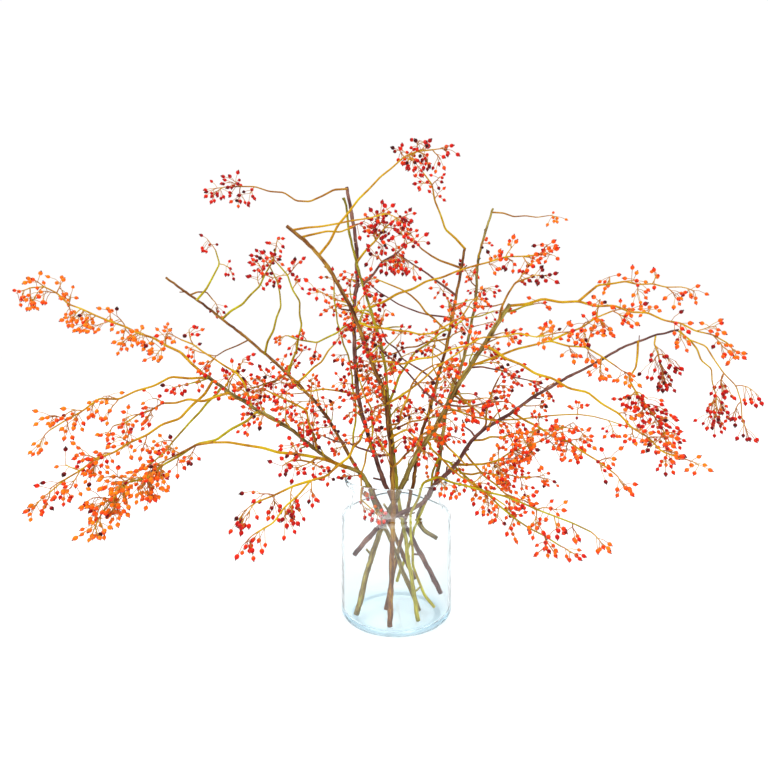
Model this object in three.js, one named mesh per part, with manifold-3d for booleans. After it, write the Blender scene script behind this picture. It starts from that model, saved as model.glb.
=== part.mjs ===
// Cut rose hip branches standing in a clear glass jar. Millimetres, +Z up.
// The origin is the centre of the jar's flat underside. +X is to the right and -Y is the front.
import * as THREE from "three";
import { mergeVertices } from "three/addons/utils/BufferGeometryUtils.js";
import Module from "manifold-3d";

const wasm = await Module();
wasm.setup();

// Jar
const JAR_BODY_RADIUS = 74;
const JAR_NECK_RADIUS = 60.5;
const JAR_LIP_RADIUS = 70;
const JAR_FOOT_RADIUS = 60;
const JAR_HEIGHT = 184;
const JAR_SHOULDER_HEIGHT = 131;
const JAR_WALL = 3.6;
const JAR_FLOOR = 7;
const JAR_NECK_LOW = JAR_HEIGHT - 32;
const JAR_NECK_HIGH = JAR_HEIGHT - 19;
const JAR_FLARE_OUT = [2, JAR_HEIGHT - 9];
const JAR_LIP_LOW = JAR_HEIGHT - 3;
const JAR_LIP_ROUNDING = 1;
const JAR_FLARE_IN = [2, JAR_HEIGHT - 7];
const JAR_THROAT = JAR_HEIGHT - 17;
const JAR_SHOULDER_EXTRA = 1;
const JAR_SHOULDER_TURN = 80;
const JAR_ARC_STEPS = 3;
const JAR_SIDES = 32;

// Wood
const CANE_SIDES = 7;
const CANE_RING_SPACING = 38;
const SHOOT_SIDES = 5;
const SHOOT_RING_SPACING = 48;
const TWIG_RADII = [1.6, 1.0];
const FEWEST_RINGS = 3;
const FRAME_STEPS = 240;
const GAP = 0.35;

// Fruit
const HIP_RADIUS = 3.3;
const STALK_RADIUS = 0.6;
const STALK_LENGTH = 21;
const STALK_SIDES = 5;
const STALK_END = 0.6;
const HIP_WIDEST_AT = 0.85;
const FIRST_STALK_AT = 0.55;
const LAST_STALK_AT = 0.97;
const STALK_FORWARD = 0.8;
const GOLDEN_ANGLE = Math.PI * (3 - Math.sqrt(5));

const GLASS = { color: 0xd8e6ea, roughness: 0.05, metalness: 0 };
const BROWN = { color: 0x7a5a45, roughness: 0.75, metalness: 0 };
const PURPLE = { color: 0x65424a, roughness: 0.7, metalness: 0 };
const OLIVE = { color: 0x8c8656, roughness: 0.7, metalness: 0 };
const GREEN = { color: 0x8fa03e, roughness: 0.65, metalness: 0 };
const ORANGE = { color: 0xf07818, roughness: 0.35, metalness: 0 };
const RED = { color: 0xc8202a, roughness: 0.35, metalness: 0 };
const DARK_RED = { color: 0x7c1820, roughness: 0.4, metalness: 0 };

// The canes, each from its cut lower end in the jar to its cut top.
const CANES = [
  {
    name: "cane_centre",
    finish: PURPLE,
    radii: [3.2, 2.5],
    route: [
      [60, -2, 28], [-12, 5, 165], [-40, 6, 244], [-53, 18, 298], [-60, 48, 421], [-57, 58, 460],
      [-61, 72, 527], [-75, 88, 603],
    ],
    twigs: [
      {
        at: 0.65,
        route: [
          [-34, 34, 393], [-16, 26, 387], [12, 24, 389],
        ],
      },
      {
        at: 0.48,
        route: [
          [-73, 14, 298], [-99, 10, 302], [-129, 6, 300], [-141, 4, 314],
        ],
      },
      {
        at: 0.338,
        route: [
          [-34, -2, 228], [-31, -8, 255], [-35, -12, 282], [-46, -14, 305], [-51, -14, 326],
        ],
      },
      {
        at: 0.65,
        route: [
          [-77, 32, 387], [-93, 28, 374], [-107, 30, 369], [-124, 36, 367], [-142, 44, 373],
          [-156, 48, 376],
        ],
      },
      {
        at: 0.365,
        route: [
          [-42, -14, 207], [-46, -23, 182], [-45, -25, 160], [-35, -28, 150],
        ],
      },
    ],
  },
  {
    name: "cane_upper_left",
    finish: BROWN,
    radii: [3.3, 2.2],
    route: [
      [-8, -56, 10], [-4, -46, 165], [-8, -49, 235], [-13, -54, 291], [-30, -58, 339], [-59, -62, 412],
      [-95, -67, 472], [-134, -70, 507],
    ],
    twigs: [
      {
        at: 0.725,
        route: [
          [-30, -65, 384], [10, -57, 379], [24, -51, 376], [47, -43, 377], [73, -35, 393],
          [87, -27, 399], [94, -25, 412],
        ],
      },
      {
        at: 0.47,
        route: [
          [2, -61, 264], [8, -69, 281], [13, -73, 298], [19, -75, 312], [31, -75, 331], [45, -73, 336],
        ],
      },
      {
        at: 0.398,
        route: [
          [-27, -38, 222], [-45, -28, 228], [-59, -22, 232], [-77, -18, 236], [-94, -16, 239],
        ],
      },
      {
        at: 0.458,
        route: [
          [5, -54, 260], [23, -56, 267], [36, -56, 270], [46, -56, 277],
        ],
      },
      {
        at: 0.438,
        route: [
          [0, -62, 252], [7, -70, 259], [18, -76, 254], [26, -80, 247],
        ],
      },
      {
        at: 0.367,
        route: [
          [2, -56, 215], [11, -60, 224], [21, -62, 235], [34, -64, 252], [47, -64, 260],
        ],
      },
      {
        at: 0.96,
        route: [
          [-104, -65, 497], [-88, -61, 504], [-66, -59, 502], [-55, -57, 509],
        ],
      },
    ],
  },
  {
    name: "cane_green",
    finish: GREEN,
    radii: [2.8, 1.4],
    route: [
      [28, -42, 10], [3, -10, 165], [-8, -13, 261], [-20, -20, 363], [-33, -24, 405], [-58, -28, 494],
      [-68, -31, 553],
    ],
  },
  {
    name: "cane_high_left",
    finish: BROWN,
    radii: [2.8, 1.7],
    route: [
      [25, 13, 40], [-12, 20, 120], [-37, 22, 165], [-52, 26, 185], [-81, 34, 230], [-105, 40, 269],
      [-158, 52, 321], [-258, 70, 402], [-346, 82, 465],
    ],
    twigs: [
      {
        at: 0.328,
        route: [
          [-61, 34, 222], [-60, 38, 242], [-57, 40, 270], [-63, 42, 306], [-66, 44, 339],
          [-75, 44, 363], [-83, 40, 392], [-86, 38, 410], [-88, 30, 443],
        ],
      },
      {
        at: 0.92,
        route: [
          [-302, 85, 444], [-292, 91, 446], [-280, 95, 434],
        ],
      },
    ],
  },
  {
    name: "cane_left",
    finish: OLIVE,
    radii: [3.0, 2.1],
    route: [
      [30, -14, 10], [-35, -8, 165], [-47, -9, 190], [-83, -14, 207], [-144, -26, 256],
      [-205, -38, 295], [-244, -46, 325],
    ],
    twigs: [
      {
        at: 0.835,
        route: [
          [-198, -42, 320], [-226, -44, 340], [-246, -44, 354], [-274, -40, 370],
        ],
      },
    ],
  },
  {
    name: "cane_thick",
    finish: OLIVE,
    radii: [3.7, 2.9],
    route: [
      [-52, -26, 11], [-24, -24, 110], [1, -27, 165], [24, -32, 214], [54, -36, 262], [80, -42, 312],
      [106, -46, 354], [143, -52, 413],
    ],
    twigs: [
      {
        at: 0.657,
        route: [
          [47, -42, 293], [31, -42, 307], [20, -40, 321], [9, -38, 332], [-7, -36, 345],
          [-27, -36, 363],
        ],
      },
      {
        at: 0.578,
        route: [
          [58, -47, 244], [67, -53, 231], [77, -57, 222], [86, -59, 213],
        ],
      },
      {
        at: 0.552,
        route: [
          [44, -44, 230], [61, -50, 215], [74, -54, 202], [92, -56, 190], [116, -56, 174],
          [136, -56, 162],
        ],
      },
      {
        at: 0.7,
        route: [
          [82, -54, 294], [91, -64, 292], [105, -70, 297],
        ],
      },
      {
        at: 0.667,
        route: [
          [95, -35, 282], [115, -33, 288], [138, -31, 289],
        ],
      },
      {
        at: 0.715,
        route: [
          [85, -45, 294], [95, -47, 282], [114, -53, 270], [132, -61, 265],
        ],
      },
      {
        at: 0.975,
        route: [
          [158, -42, 409], [177, -36, 415],
        ],
      },
    ],
  },
  {
    name: "cane_slim_right",
    finish: BROWN,
    radii: [2.8, 2.0],
    route: [
      [-14, -11, 10], [22, 26, 165], [34, 35, 230], [50, 42, 280], [71, 54, 356], [86, 65, 424],
      [103, 80, 509],
    ],
    twigs: [
      {
        at: 0.79,
        route: [
          [50, 70, 408], [13, 74, 420], [-18, 76, 437], [-38, 72, 453],
        ],
      },
      {
        at: 0.595,
        route: [
          [48, 42, 317], [34, 35, 329], [15, 27, 338], [0, 23, 356], [-18, 21, 373], [-21, 19, 382],
        ],
      },
      {
        at: 0.75,
        route: [
          [63, 51, 394], [45, 41, 407], [31, 35, 424], [14, 31, 438], [-5, 29, 446], [-23, 29, 454],
        ],
      },
      {
        at: 0.73,
        route: [
          [49, 55, 369], [36, 53, 363], [17, 51, 360], [-16, 51, 346], [-31, 51, 342],
        ],
      },
    ],
  },
  {
    name: "cane_top_right",
    finish: OLIVE,
    radii: [3.0, 1.8],
    route: [
      [56, 8, 98], [35, 10, 113], [31, 10, 131], [38, 8, 147], [52, 6, 171], [76, 60, 284],
      [101, 84, 343], [123, 111, 427], [131, 129, 503], [157, 147, 586],
    ],
    twigs: [
      {
        at: 0.69,
        route: [
          [150, 101, 424], [165, 97, 428],
        ],
      },
    ],
  },
  {
    name: "cane_far_right",
    finish: PURPLE,
    radii: [3.2, 1.3],
    route: [
      [-54, -30, 90], [-19, -36, 131], [34, -33, 160], [50, -32, 182], [76, -29, 206], [103, -22, 240],
      [151, -16, 272], [199, -12, 302], [263, -10, 338], [324, -6, 368], [379, -6, 383],
    ],
    twigs: [
      {
        at: 0.417,
        route: [
          [94, -23, 251], [85, -25, 264],
        ],
      },
      {
        at: 0.43,
        route: [
          [120, -15, 260], [121, -11, 278], [125, -11, 292], [130, -13, 305], [134, -17, 319],
        ],
      },
      {
        at: 0.372,
        route: [
          [106, -10, 201], [125, -9, 181], [145, -15, 166], [160, -19, 158],
        ],
      },
    ],
  },
  {
    name: "cane_low_right",
    finish: OLIVE,
    radii: [2.4, 1.0],
    hips: 5,
    route: [
      [1, 46, 24], [20, 20, 90], [28, -8, 128], [38, -10, 150], [45, -12, 172], [58, -12, 215],
      [86, -21, 193], [115, -39, 172], [143, -57, 148], [175, -69, 131], [199, -78, 119],
    ],
  },
  {
    name: "cane_front_right",
    finish: GREEN,
    radii: [2.2, 1.0],
    hips: 5,
    route: [
      [50, -17, 16], [36, -17, 38], [26, -17, 55], [21, -17, 92], [20, -27, 110], [17, -36, 128],
      [24, -46, 160], [43, -49, 195], [77, -62, 189], [127, -86, 181], [173, -107, 167],
      [198, -119, 160], [218, -126, 151],
    ],
  },
];

// The side shoots, each from the middle of the wood that it grows on out to its tip.
const SHOOTS = [
  {
    name: "branch_low_left",
    from: "cane_left",
    finish: OLIVE,
    radii: [2.6, 1.8],
    hips: 0,
    route: [
      [-67, -12, 199], [-100, -39, 218], [-146, -69, 230], [-187, -81, 242], [-221, -87, 245],
    ],
  },
  {
    name: "spray_far_left_upper",
    from: "cane_left",
    finish: ORANGE,
    radii: [1.9, 1.1],
    hips: 6,
    route: [
      [-244, -47, 325], [-285, -41, 358], [-359, -32, 388], [-426, -26, 416], [-464, -20, 440],
      [-483, -17, 436],
    ],
  },
  {
    name: "spray_far_left_middle",
    from: "cane_left",
    finish: ORANGE,
    radii: [1.9, 1.1],
    hips: 5,
    route: [
      [-239, -45, 321], [-289, -56, 318], [-336, -65, 297], [-366, -71, 294], [-391, -77, 274],
      [-418, -80, 259],
    ],
  },
  {
    name: "spray_far_left_lower",
    from: "cane_left",
    finish: ORANGE,
    radii: [1.9, 1.1],
    hips: 6,
    route: [
      [-233, -44, 317], [-263, -61, 276], [-299, -76, 257], [-320, -85, 242], [-351, -94, 228],
      [-379, -100, 208], [-403, -103, 190],
    ],
  },
  {
    name: "spray_left_back",
    from: "cane_left",
    finish: ORANGE,
    radii: [1.9, 1.1],
    hips: 4,
    route: [
      [-222, -42, 309], [-249, -17, 286], [-301, 10, 236], [-324, 19, 211], [-370, 31, 180],
    ],
  },
  {
    name: "spray_left_hanging",
    from: "cane_left",
    finish: ORANGE,
    radii: [1.9, 1.1],
    hips: 6,
    route: [
      [-178, -32, 278], [-215, -65, 249], [-253, -83, 234], [-282, -98, 212], [-309, -107, 201],
      [-327, -113, 183], [-336, -116, 166],
    ],
  },
  {
    name: "spray_left_inner",
    from: "cane_left",
    finish: ORANGE,
    radii: [1.9, 1.1],
    hips: 5,
    route: [
      [-213, -39, 301], [-230, -65, 294], [-284, -50, 290], [-329, -35, 273], [-369, -23, 255],
    ],
  },
  {
    name: "spray_low_left_tip",
    from: "branch_low_left",
    finish: ORANGE,
    radii: [1.9, 1.1],
    hips: 5,
    route: [
      [-219, -86, 245], [-246, -86, 239], [-277, -83, 221],
    ],
  },
  {
    name: "spray_high_left_tip",
    from: "cane_high_left",
    finish: RED,
    radii: [1.9, 1.1],
    hips: 3,
    route: [
      [-298, 75, 430], [-284, 88, 456], [-273, 97, 479], [-277, 103, 511],
    ],
  },
  {
    name: "spray_high_left_inner",
    from: "cane_high_left",
    finish: RED,
    radii: [1.9, 1.1],
    hips: 4,
    route: [
      [-258, 70, 402], [-211, 55, 435], [-187, 40, 462], [-168, 28, 496],
    ],
  },
  {
    name: "spray_upright_left",
    from: "cane_high_left",
    finish: RED,
    radii: [1.9, 1.1],
    hips: 3,
    route: [
      [-192, 58, 349], [-179, 49, 382], [-161, 25, 430], [-170, 1, 467],
    ],
  },
  {
    name: "spray_upright_middle",
    from: "cane_high_left",
    finish: RED,
    radii: [1.9, 1.1],
    hips: 4,
    route: [
      [-157, 52, 320], [-135, 28, 381], [-132, -5, 424], [-153, -32, 468],
    ],
  },
  {
    name: "spray_short_middle",
    from: "cane_high_left",
    finish: RED,
    radii: [1.9, 1.1],
    hips: 3,
    route: [
      [-144, 49, 308], [-107, 25, 339], [-82, 7, 367],
    ],
  },
  {
    name: "spray_left_red",
    from: "cane_high_left",
    finish: RED,
    radii: [1.9, 1.1],
    hips: 5,
    route: [
      [-159, 52, 322], [-175, 28, 311], [-196, 4, 304],
    ],
  },
  {
    name: "spray_thin_left",
    from: "cane_high_left",
    finish: RED,
    radii: [1.2, 0.8],
    hips: 3,
    route: [
      [-219, 63, 370], [-240, 34, 356], [-249, 19, 348], [-271, 16, 353],
    ],
  },
  {
    name: "spray_arching_left",
    from: "cane_left",
    finish: RED,
    radii: [1.9, 1.1],
    hips: 4,
    route: [
      [-105, -18, 225], [-118, -56, 284], [-140, -80, 297], [-154, -89, 309],
    ],
  },
  {
    name: "spray_low_left_red",
    from: "branch_low_left",
    finish: RED,
    radii: [1.9, 1.1],
    hips: 4,
    route: [
      [-98, -37, 217], [-107, -89, 222], [-122, -113, 229],
    ],
  },
  {
    name: "spray_front",
    from: "cane_centre",
    finish: RED,
    radii: [2.0, 1.1],
    hips: 5,
    route: [
      [-41, 8, 249], [-57, -63, 228], [-74, -87, 211], [-102, -111, 200], [-127, -135, 174],
      [-150, -150, 156],
    ],
    forkAt: 0.66,
    fork: [
      [-131, -122, 195], [-157, -128, 184],
    ],
  },
  {
    name: "spray_top",
    from: "cane_upper_left",
    finish: RED,
    radii: [1.9, 1.1],
    hips: 5,
    route: [
      [-95, -67, 472], [-57, -61, 530], [-18, -46, 577], [22, -31, 612], [47, -22, 618],
    ],
  },
  {
    name: "spray_top_right",
    from: "cane_slim_right",
    finish: RED,
    radii: [1.9, 1.1],
    hips: 4,
    route: [
      [103, 80, 508], [70, 59, 537], [51, 41, 590], [40, 26, 605],
    ],
  },
  {
    name: "spray_top_left",
    from: "cane_centre",
    finish: RED,
    radii: [1.7, 1.0],
    hips: 4,
    route: [
      [-74, 87, 600], [-102, 80, 593], [-134, 73, 575], [-165, 65, 586], [-199, 58, 591],
      [-221, 53, 594], [-246, 49, 590],
    ],
  },
  {
    name: "spray_upper_left_tip",
    from: "cane_upper_left",
    finish: RED,
    radii: [1.5, 0.9],
    hips: 3,
    route: [
      [-128, -70, 502], [-91, -82, 504], [-58, -94, 507], [-13, -106, 511],
    ],
  },
  {
    name: "spray_red_back",
    from: "cane_centre",
    finish: RED,
    radii: [1.9, 1.1],
    hips: 5,
    route: [
      [-58, 63, 485], [-30, 42, 513], [-2, 18, 539],
    ],
  },
  {
    name: "spray_red_front",
    from: "cane_green",
    finish: RED,
    radii: [1.9, 1.1],
    hips: 5,
    route: [
      [-43, -25, 442], [-17, -46, 467], [14, -64, 485],
    ],
  },
  {
    name: "spray_slim_inner",
    from: "cane_slim_right",
    finish: RED,
    radii: [1.9, 1.1],
    hips: 2,
    route: [
      [97, 74, 478], [50, 47, 491], [25, 23, 509],
    ],
  },
  {
    name: "spray_dark_inner",
    from: "cane_slim_right",
    finish: DARK_RED,
    radii: [1.9, 1.1],
    hips: 3,
    route: [
      [89, 67, 436], [49, 32, 460], [8, -1, 481],
    ],
  },
  {
    name: "spray_yellow",
    from: "cane_green",
    finish: RED,
    radii: [1.9, 1.0],
    hips: 5,
    route: [
      [-35, -24, 411], [13, -34, 432], [91, -55, 459], [143, -73, 469], [174, -79, 469],
    ],
  },
  {
    name: "spray_thick_tip",
    from: "cane_thick",
    finish: DARK_RED,
    radii: [1.9, 1.1],
    hips: 3,
    route: [
      [129, -50, 390], [138, -71, 429], [155, -95, 442],
    ],
  },
  {
    name: "spray_right_upper",
    from: "cane_thick",
    finish: ORANGE,
    radii: [2.0, 1.0],
    hips: 4,
    route: [
      [142, -52, 411], [180, -64, 417], [235, -76, 411], [321, -79, 394], [402, -76, 365],
    ],
    forkAt: 0.28,
    fork: [
      [256, -55, 437], [318, -40, 440], [368, -31, 436],
    ],
  },
  {
    name: "spray_right_hanging",
    from: "cane_far_right",
    finish: RED,
    radii: [1.2, 0.8],
    hips: 4,
    route: [
      [348, -6, 374], [343, -16, 362], [342, -24, 350], [342, -30, 337],
    ],
  },
  {
    name: "spray_far_right",
    from: "cane_far_right",
    finish: ORANGE,
    radii: [1.4, 0.8],
    hips: 4,
    route: [
      [378, -6, 382], [400, -4, 366], [413, 8, 349], [439, 20, 322], [448, 30, 295], [455, 36, 274],
    ],
    forkAt: 0.19,
    fork: [
      [413, -12, 361], [419, -21, 339], [441, -30, 308], [445, -33, 291], [446, -36, 268],
    ],
  },
  {
    name: "spray_right_big",
    from: "cane_far_right",
    finish: RED,
    radii: [1.5, 0.9],
    hips: 6,
    route: [
      [324, -7, 368], [314, -22, 332], [300, -34, 314], [312, -40, 295], [323, -49, 277],
      [330, -61, 256], [333, -70, 235],
    ],
  },
  {
    name: "spray_right_long",
    from: "cane_thick",
    finish: RED,
    radii: [1.9, 1.1],
    hips: 5,
    route: [
      [111, -47, 362], [149, -94, 336], [189, -103, 317], [231, -109, 300], [286, -118, 253],
      [319, -124, 231],
    ],
  },
  {
    name: "spray_right_level",
    from: "cane_top_right",
    finish: RED,
    radii: [1.6, 0.9],
    hips: 4,
    route: [
      [73, 55, 273], [134, 43, 256], [265, 37, 264], [339, 25, 244],
    ],
  },
  {
    name: "spray_right_inner",
    from: "cane_thick",
    finish: RED,
    radii: [1.9, 1.1],
    hips: 5,
    route: [
      [94, -44, 335], [138, -61, 352], [185, -76, 365], [220, -85, 358], [244, -91, 349],
      [258, -97, 335],
    ],
    forkAt: 0.55,
    fork: [
      [227, -91, 386], [252, -100, 402],
    ],
  },
  {
    name: "shoot_crossing",
    from: "cane_upper_left",
    finish: RED,
    radii: [1.6, 0.9],
    hips: 3,
    route: [
      [-31, -58, 341], [14, -76, 341], [66, -91, 355], [103, -103, 369], [179, -124, 372],
    ],
  },
  {
    name: "shoot_short",
    from: "cane_upper_left",
    finish: RED,
    radii: [1.7, 1.0],
    hips: 2,
    route: [
      [-13, -53, 287], [12, -70, 303], [46, -73, 332], [80, -76, 355],
    ],
  },
  {
    name: "shoot_green",
    from: "cane_green",
    finish: RED,
    radii: [1.9, 1.0],
    hips: 3,
    route: [
      [-11, -15, 283], [16, -1, 341], [64, 5, 380], [96, 11, 398], [135, 17, 408],
    ],
  },
  {
    name: "spray_purple",
    from: "cane_thick",
    finish: DARK_RED,
    radii: [1.5, 0.9],
    hips: 4,
    route: [
      [93, -44, 333], [126, -23, 332], [155, -8, 322], [195, 1, 308],
    ],
  },
  {
    name: "spray_right_dense",
    from: "cane_low_right",
    finish: RED,
    radii: [1.9, 1.0],
    hips: 6,
    route: [
      [72, -16, 204], [121, -36, 210], [154, -60, 234], [182, -72, 245],
    ],
  },
  {
    name: "spray_right_dense_low",
    from: "cane_low_right",
    finish: RED,
    radii: [1.7, 1.0],
    hips: 5,
    route: [
      [84, -20, 194], [145, 27, 182], [197, 36, 174],
    ],
  },
  {
    name: "spray_right_behind",
    from: "cane_far_right",
    finish: RED,
    radii: [1.7, 1.0],
    hips: 5,
    route: [
      [101, -22, 237], [145, 20, 236], [214, 47, 241], [265, 59, 242],
    ],
  },
  {
    name: "spray_right_fan",
    from: "cane_far_right",
    finish: RED,
    radii: [1.7, 1.0],
    hips: 5,
    route: [
      [153, -15, 274], [191, -52, 251], [214, -79, 240], [250, -112, 214],
    ],
  },
  {
    name: "spray_slim_side",
    from: "cane_slim_right",
    finish: RED,
    radii: [1.2, 0.8],
    hips: 3,
    route: [
      [60, 48, 316], [49, 32, 347], [58, 20, 378],
    ],
  },
  {
    name: "spray_top_right_tip",
    from: "cane_top_right",
    finish: ORANGE,
    radii: [1.5, 0.9],
    hips: 2,
    route: [
      [155, 146, 580], [191, 153, 576], [250, 159, 576],
    ],
  },
];

const parts = new THREE.Group();
const limbs = new Map();

function points(route) {
  return route.map((point) => new THREE.Vector3(...point));
}

// A smooth line through the route's points, with both ends moved out by the given length.
function curveThrough(route, extra = 0) {
  const line = points(route);
  const last = line.length - 1;
  const back = line[0].clone().sub(line[1]).setLength(extra);
  const ahead = line[last].clone().sub(line[last - 1]).setLength(extra);
  line[0].add(back);
  line[last].add(ahead);
  return new THREE.CatmullRomCurve3(line);
}

// The closed mesh as a solid, with the vertices at its seams and poles merged.
function solidFrom(geometry) {
  geometry.deleteAttribute("normal");
  geometry.deleteAttribute("uv");
  const merged = mergeVertices(geometry);
  return new wasm.Manifold(
    new wasm.Mesh({
      numProp: 3,
      vertProperties: merged.attributes.position.array,
      triVerts: new Uint32Array(merged.index.array),
    }),
  );
}

function geometryFrom(solid) {
  const mesh = solid.getMesh();
  const geometry = new THREE.BufferGeometry();
  geometry.setAttribute("position", new THREE.BufferAttribute(mesh.vertProperties, 3));
  geometry.setIndex(new THREE.BufferAttribute(mesh.triVerts, 1));
  const faceted = geometry.toNonIndexed();
  faceted.computeVertexNormals();
  return faceted;
}

// A round solid laid along a curve. Each profile entry is [share of the length, radius].
function roundAlong(curve, profile, sides) {
  const outline = profile.map(([along, radius]) => new THREE.Vector2(radius, along));
  outline.unshift(new THREE.Vector2(0, 0));
  outline.push(new THREE.Vector2(0, 1));
  const geometry = new THREE.LatheGeometry(outline, sides);
  const frames = curve.computeFrenetFrames(FRAME_STEPS);
  const position = geometry.attributes.position;
  for (let i = 0; i < position.count; i += 1) {
    const along = position.getY(i);
    const step = Math.round(along * FRAME_STEPS);
    const point = curve.getPointAt(along);
    point.addScaledVector(frames.normals[step], position.getX(i));
    point.addScaledVector(frames.binormals[step], -position.getZ(i));
    position.setXYZ(i, point.x, point.y, point.z);
  }
  return solidFrom(geometry);
}

function ringCount(curve, spacing) {
  return Math.max(FEWEST_RINGS, Math.round(curve.getLength() / spacing));
}

function taper(rings, thick, thin) {
  const profile = [];
  for (let i = 0; i <= rings; i += 1) {
    profile.push([i / rings, THREE.MathUtils.lerp(thick, thin, i / rings)]);
  }
  return profile;
}

// One length of wood, made larger all round by the growth.
function wood(route, [thick, thin], sides, spacing, growth = 0) {
  const curve = curveThrough(route, growth);
  const profile = taper(ringCount(curve, spacing), thick + growth, thin + growth);
  return roundAlong(curve, profile, sides);
}

// A thin stalk that swells into one hip and closes at its tip.
function stalkedHip(start, direction) {
  const end = start.clone().addScaledVector(direction, STALK_LENGTH);
  const profile = [
    [0, STALK_RADIUS],
    [STALK_END, STALK_RADIUS],
    [HIP_WIDEST_AT, HIP_RADIUS],
  ];
  return roundAlong(new THREE.LineCurve3(start, end), profile, STALK_SIDES);
}

// A point in the middle of the wood, which runs straight from each ring to the next.
function middleOfWood(curve, rings, along) {
  const ring = Math.min(Math.floor(along * rings), rings - 1);
  const start = curve.getPointAt(ring / rings);
  const end = curve.getPointAt((ring + 1) / rings);
  return start.lerp(end, along * rings - ring);
}

// The hips along the outer part of a shoot, turned round it by the golden angle.
function stalkedHips(route, count, spacing) {
  const curve = curveThrough(route);
  const rings = ringCount(curve, spacing);
  const frames = curve.computeFrenetFrames(FRAME_STEPS);
  const made = [];
  for (let i = 0; i < count; i += 1) {
    const share = count > 1 ? i / (count - 1) : 1;
    const along = THREE.MathUtils.lerp(FIRST_STALK_AT, LAST_STALK_AT, share);
    const step = Math.round(along * FRAME_STEPS);
    const turn = i * GOLDEN_ANGLE;
    const direction = new THREE.Vector3();
    direction.addScaledVector(frames.normals[step], Math.cos(turn));
    direction.addScaledVector(frames.binormals[step], Math.sin(turn));
    direction.addScaledVector(frames.tangents[step], STALK_FORWARD);
    made.push(stalkedHip(middleOfWood(curve, rings, along), direction.normalize()));
  }
  return made;
}

function largest(solid) {
  const bodies = solid.decompose();
  return bodies.reduce((best, body) => (body.volume() > best.volume() ? body : best));
}

function addPart(name, solid, finish) {
  const material = new THREE.MeshStandardMaterial(finish);
  const mesh = new THREE.Mesh(geometryFrom(solid), material);
  mesh.name = name;
  parts.add(mesh);
}

// The thin twigs of a cane, each from the middle of its wood at a share of its length.
function twigsOn(route, twigs) {
  const curve = curveThrough(route);
  const rings = ringCount(curve, CANE_RING_SPACING);
  return twigs.map((twig) => {
    const start = middleOfWood(curve, rings, twig.at).toArray();
    return wood([start, ...twig.route], TWIG_RADII, SHOOT_SIDES, SHOOT_RING_SPACING);
  });
}

function addCane({ name, finish, radii, route, hips = 0, twigs = [] }) {
  const stem = wood(route, radii, CANE_SIDES, CANE_RING_SPACING);
  const grown = [...stalkedHips(route, hips, CANE_RING_SPACING), ...twigsOn(route, twigs)];
  limbs.set(name, wood(route, radii, CANE_SIDES, CANE_RING_SPACING, GAP));
  addPart(name, grown.reduce((sum, piece) => sum.add(piece), stem), finish);
}

// A side shoot with its fork and hips, cut to sit against the wood that it grows on.
function addShoot({ name, from, finish, radii, route, forkAt, fork, hips }) {
  const pieces = stalkedHips(route, hips, SHOOT_RING_SPACING);
  if (fork) {
    const curve = curveThrough(route);
    const rings = ringCount(curve, SHOOT_RING_SPACING);
    const forkRoute = [middleOfWood(curve, rings, forkAt).toArray(), ...fork];
    pieces.push(wood(forkRoute, radii, SHOOT_SIDES, SHOOT_RING_SPACING));
    pieces.push(...stalkedHips(forkRoute, hips - 1, SHOOT_RING_SPACING));
  }
  const shoot = wood(route, radii, SHOOT_SIDES, SHOOT_RING_SPACING);
  const whole = pieces.reduce((sum, piece) => sum.add(piece), shoot);
  limbs.set(name, wood(route, radii, SHOOT_SIDES, SHOOT_RING_SPACING, GAP));
  addPart(name, largest(whole.subtract(limbs.get(from))), finish);
}

// An arc of the jar's outline round a centre, between two angles in degrees.
function arc(centre, radius, from, to) {
  const made = [];
  for (let i = 0; i <= JAR_ARC_STEPS; i += 1) {
    const degrees = THREE.MathUtils.lerp(from, to, i / JAR_ARC_STEPS);
    const angle = THREE.MathUtils.degToRad(degrees);
    const r = centre.x + radius * Math.cos(angle);
    made.push(new THREE.Vector2(r, centre.y + radius * Math.sin(angle)));
  }
  return made;
}

// The jar's round outline: out over the foot, up the wall to the lip, and back down inside.
function jarOutline() {
  const heel = JAR_BODY_RADIUS - JAR_FOOT_RADIUS;
  const shoulder = JAR_BODY_RADIUS - JAR_NECK_RADIUS + JAR_SHOULDER_EXTRA;
  const heelCentre = new THREE.Vector2(JAR_FOOT_RADIUS, heel);
  const shoulderCentre = new THREE.Vector2(JAR_BODY_RADIUS - shoulder, JAR_SHOULDER_HEIGHT);
  const innerHeel = heel - JAR_WALL;
  const innerHeelCentre = new THREE.Vector2(JAR_FOOT_RADIUS, JAR_FLOOR + innerHeel);
  const [flareOut, flareOutHeight] = JAR_FLARE_OUT;
  const [flareIn, flareInHeight] = JAR_FLARE_IN;
  return [
    new THREE.Vector2(0, 0),
    ...arc(heelCentre, heel, -90, 0),
    ...arc(shoulderCentre, shoulder, 0, JAR_SHOULDER_TURN),
    new THREE.Vector2(JAR_NECK_RADIUS, JAR_NECK_LOW),
    new THREE.Vector2(JAR_NECK_RADIUS, JAR_NECK_HIGH),
    new THREE.Vector2(JAR_LIP_RADIUS - flareOut, flareOutHeight),
    new THREE.Vector2(JAR_LIP_RADIUS, JAR_LIP_LOW),
    new THREE.Vector2(JAR_LIP_RADIUS - JAR_LIP_ROUNDING, JAR_HEIGHT),
    new THREE.Vector2(JAR_LIP_RADIUS - JAR_WALL, JAR_HEIGHT),
    new THREE.Vector2(JAR_LIP_RADIUS - JAR_WALL - flareIn, flareInHeight),
    new THREE.Vector2(JAR_NECK_RADIUS - JAR_WALL, JAR_THROAT),
    ...arc(shoulderCentre, shoulder - JAR_WALL, JAR_SHOULDER_TURN, 0),
    ...arc(innerHeelCentre, innerHeel, 0, -90),
    new THREE.Vector2(0, JAR_FLOOR),
  ];
}

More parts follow.
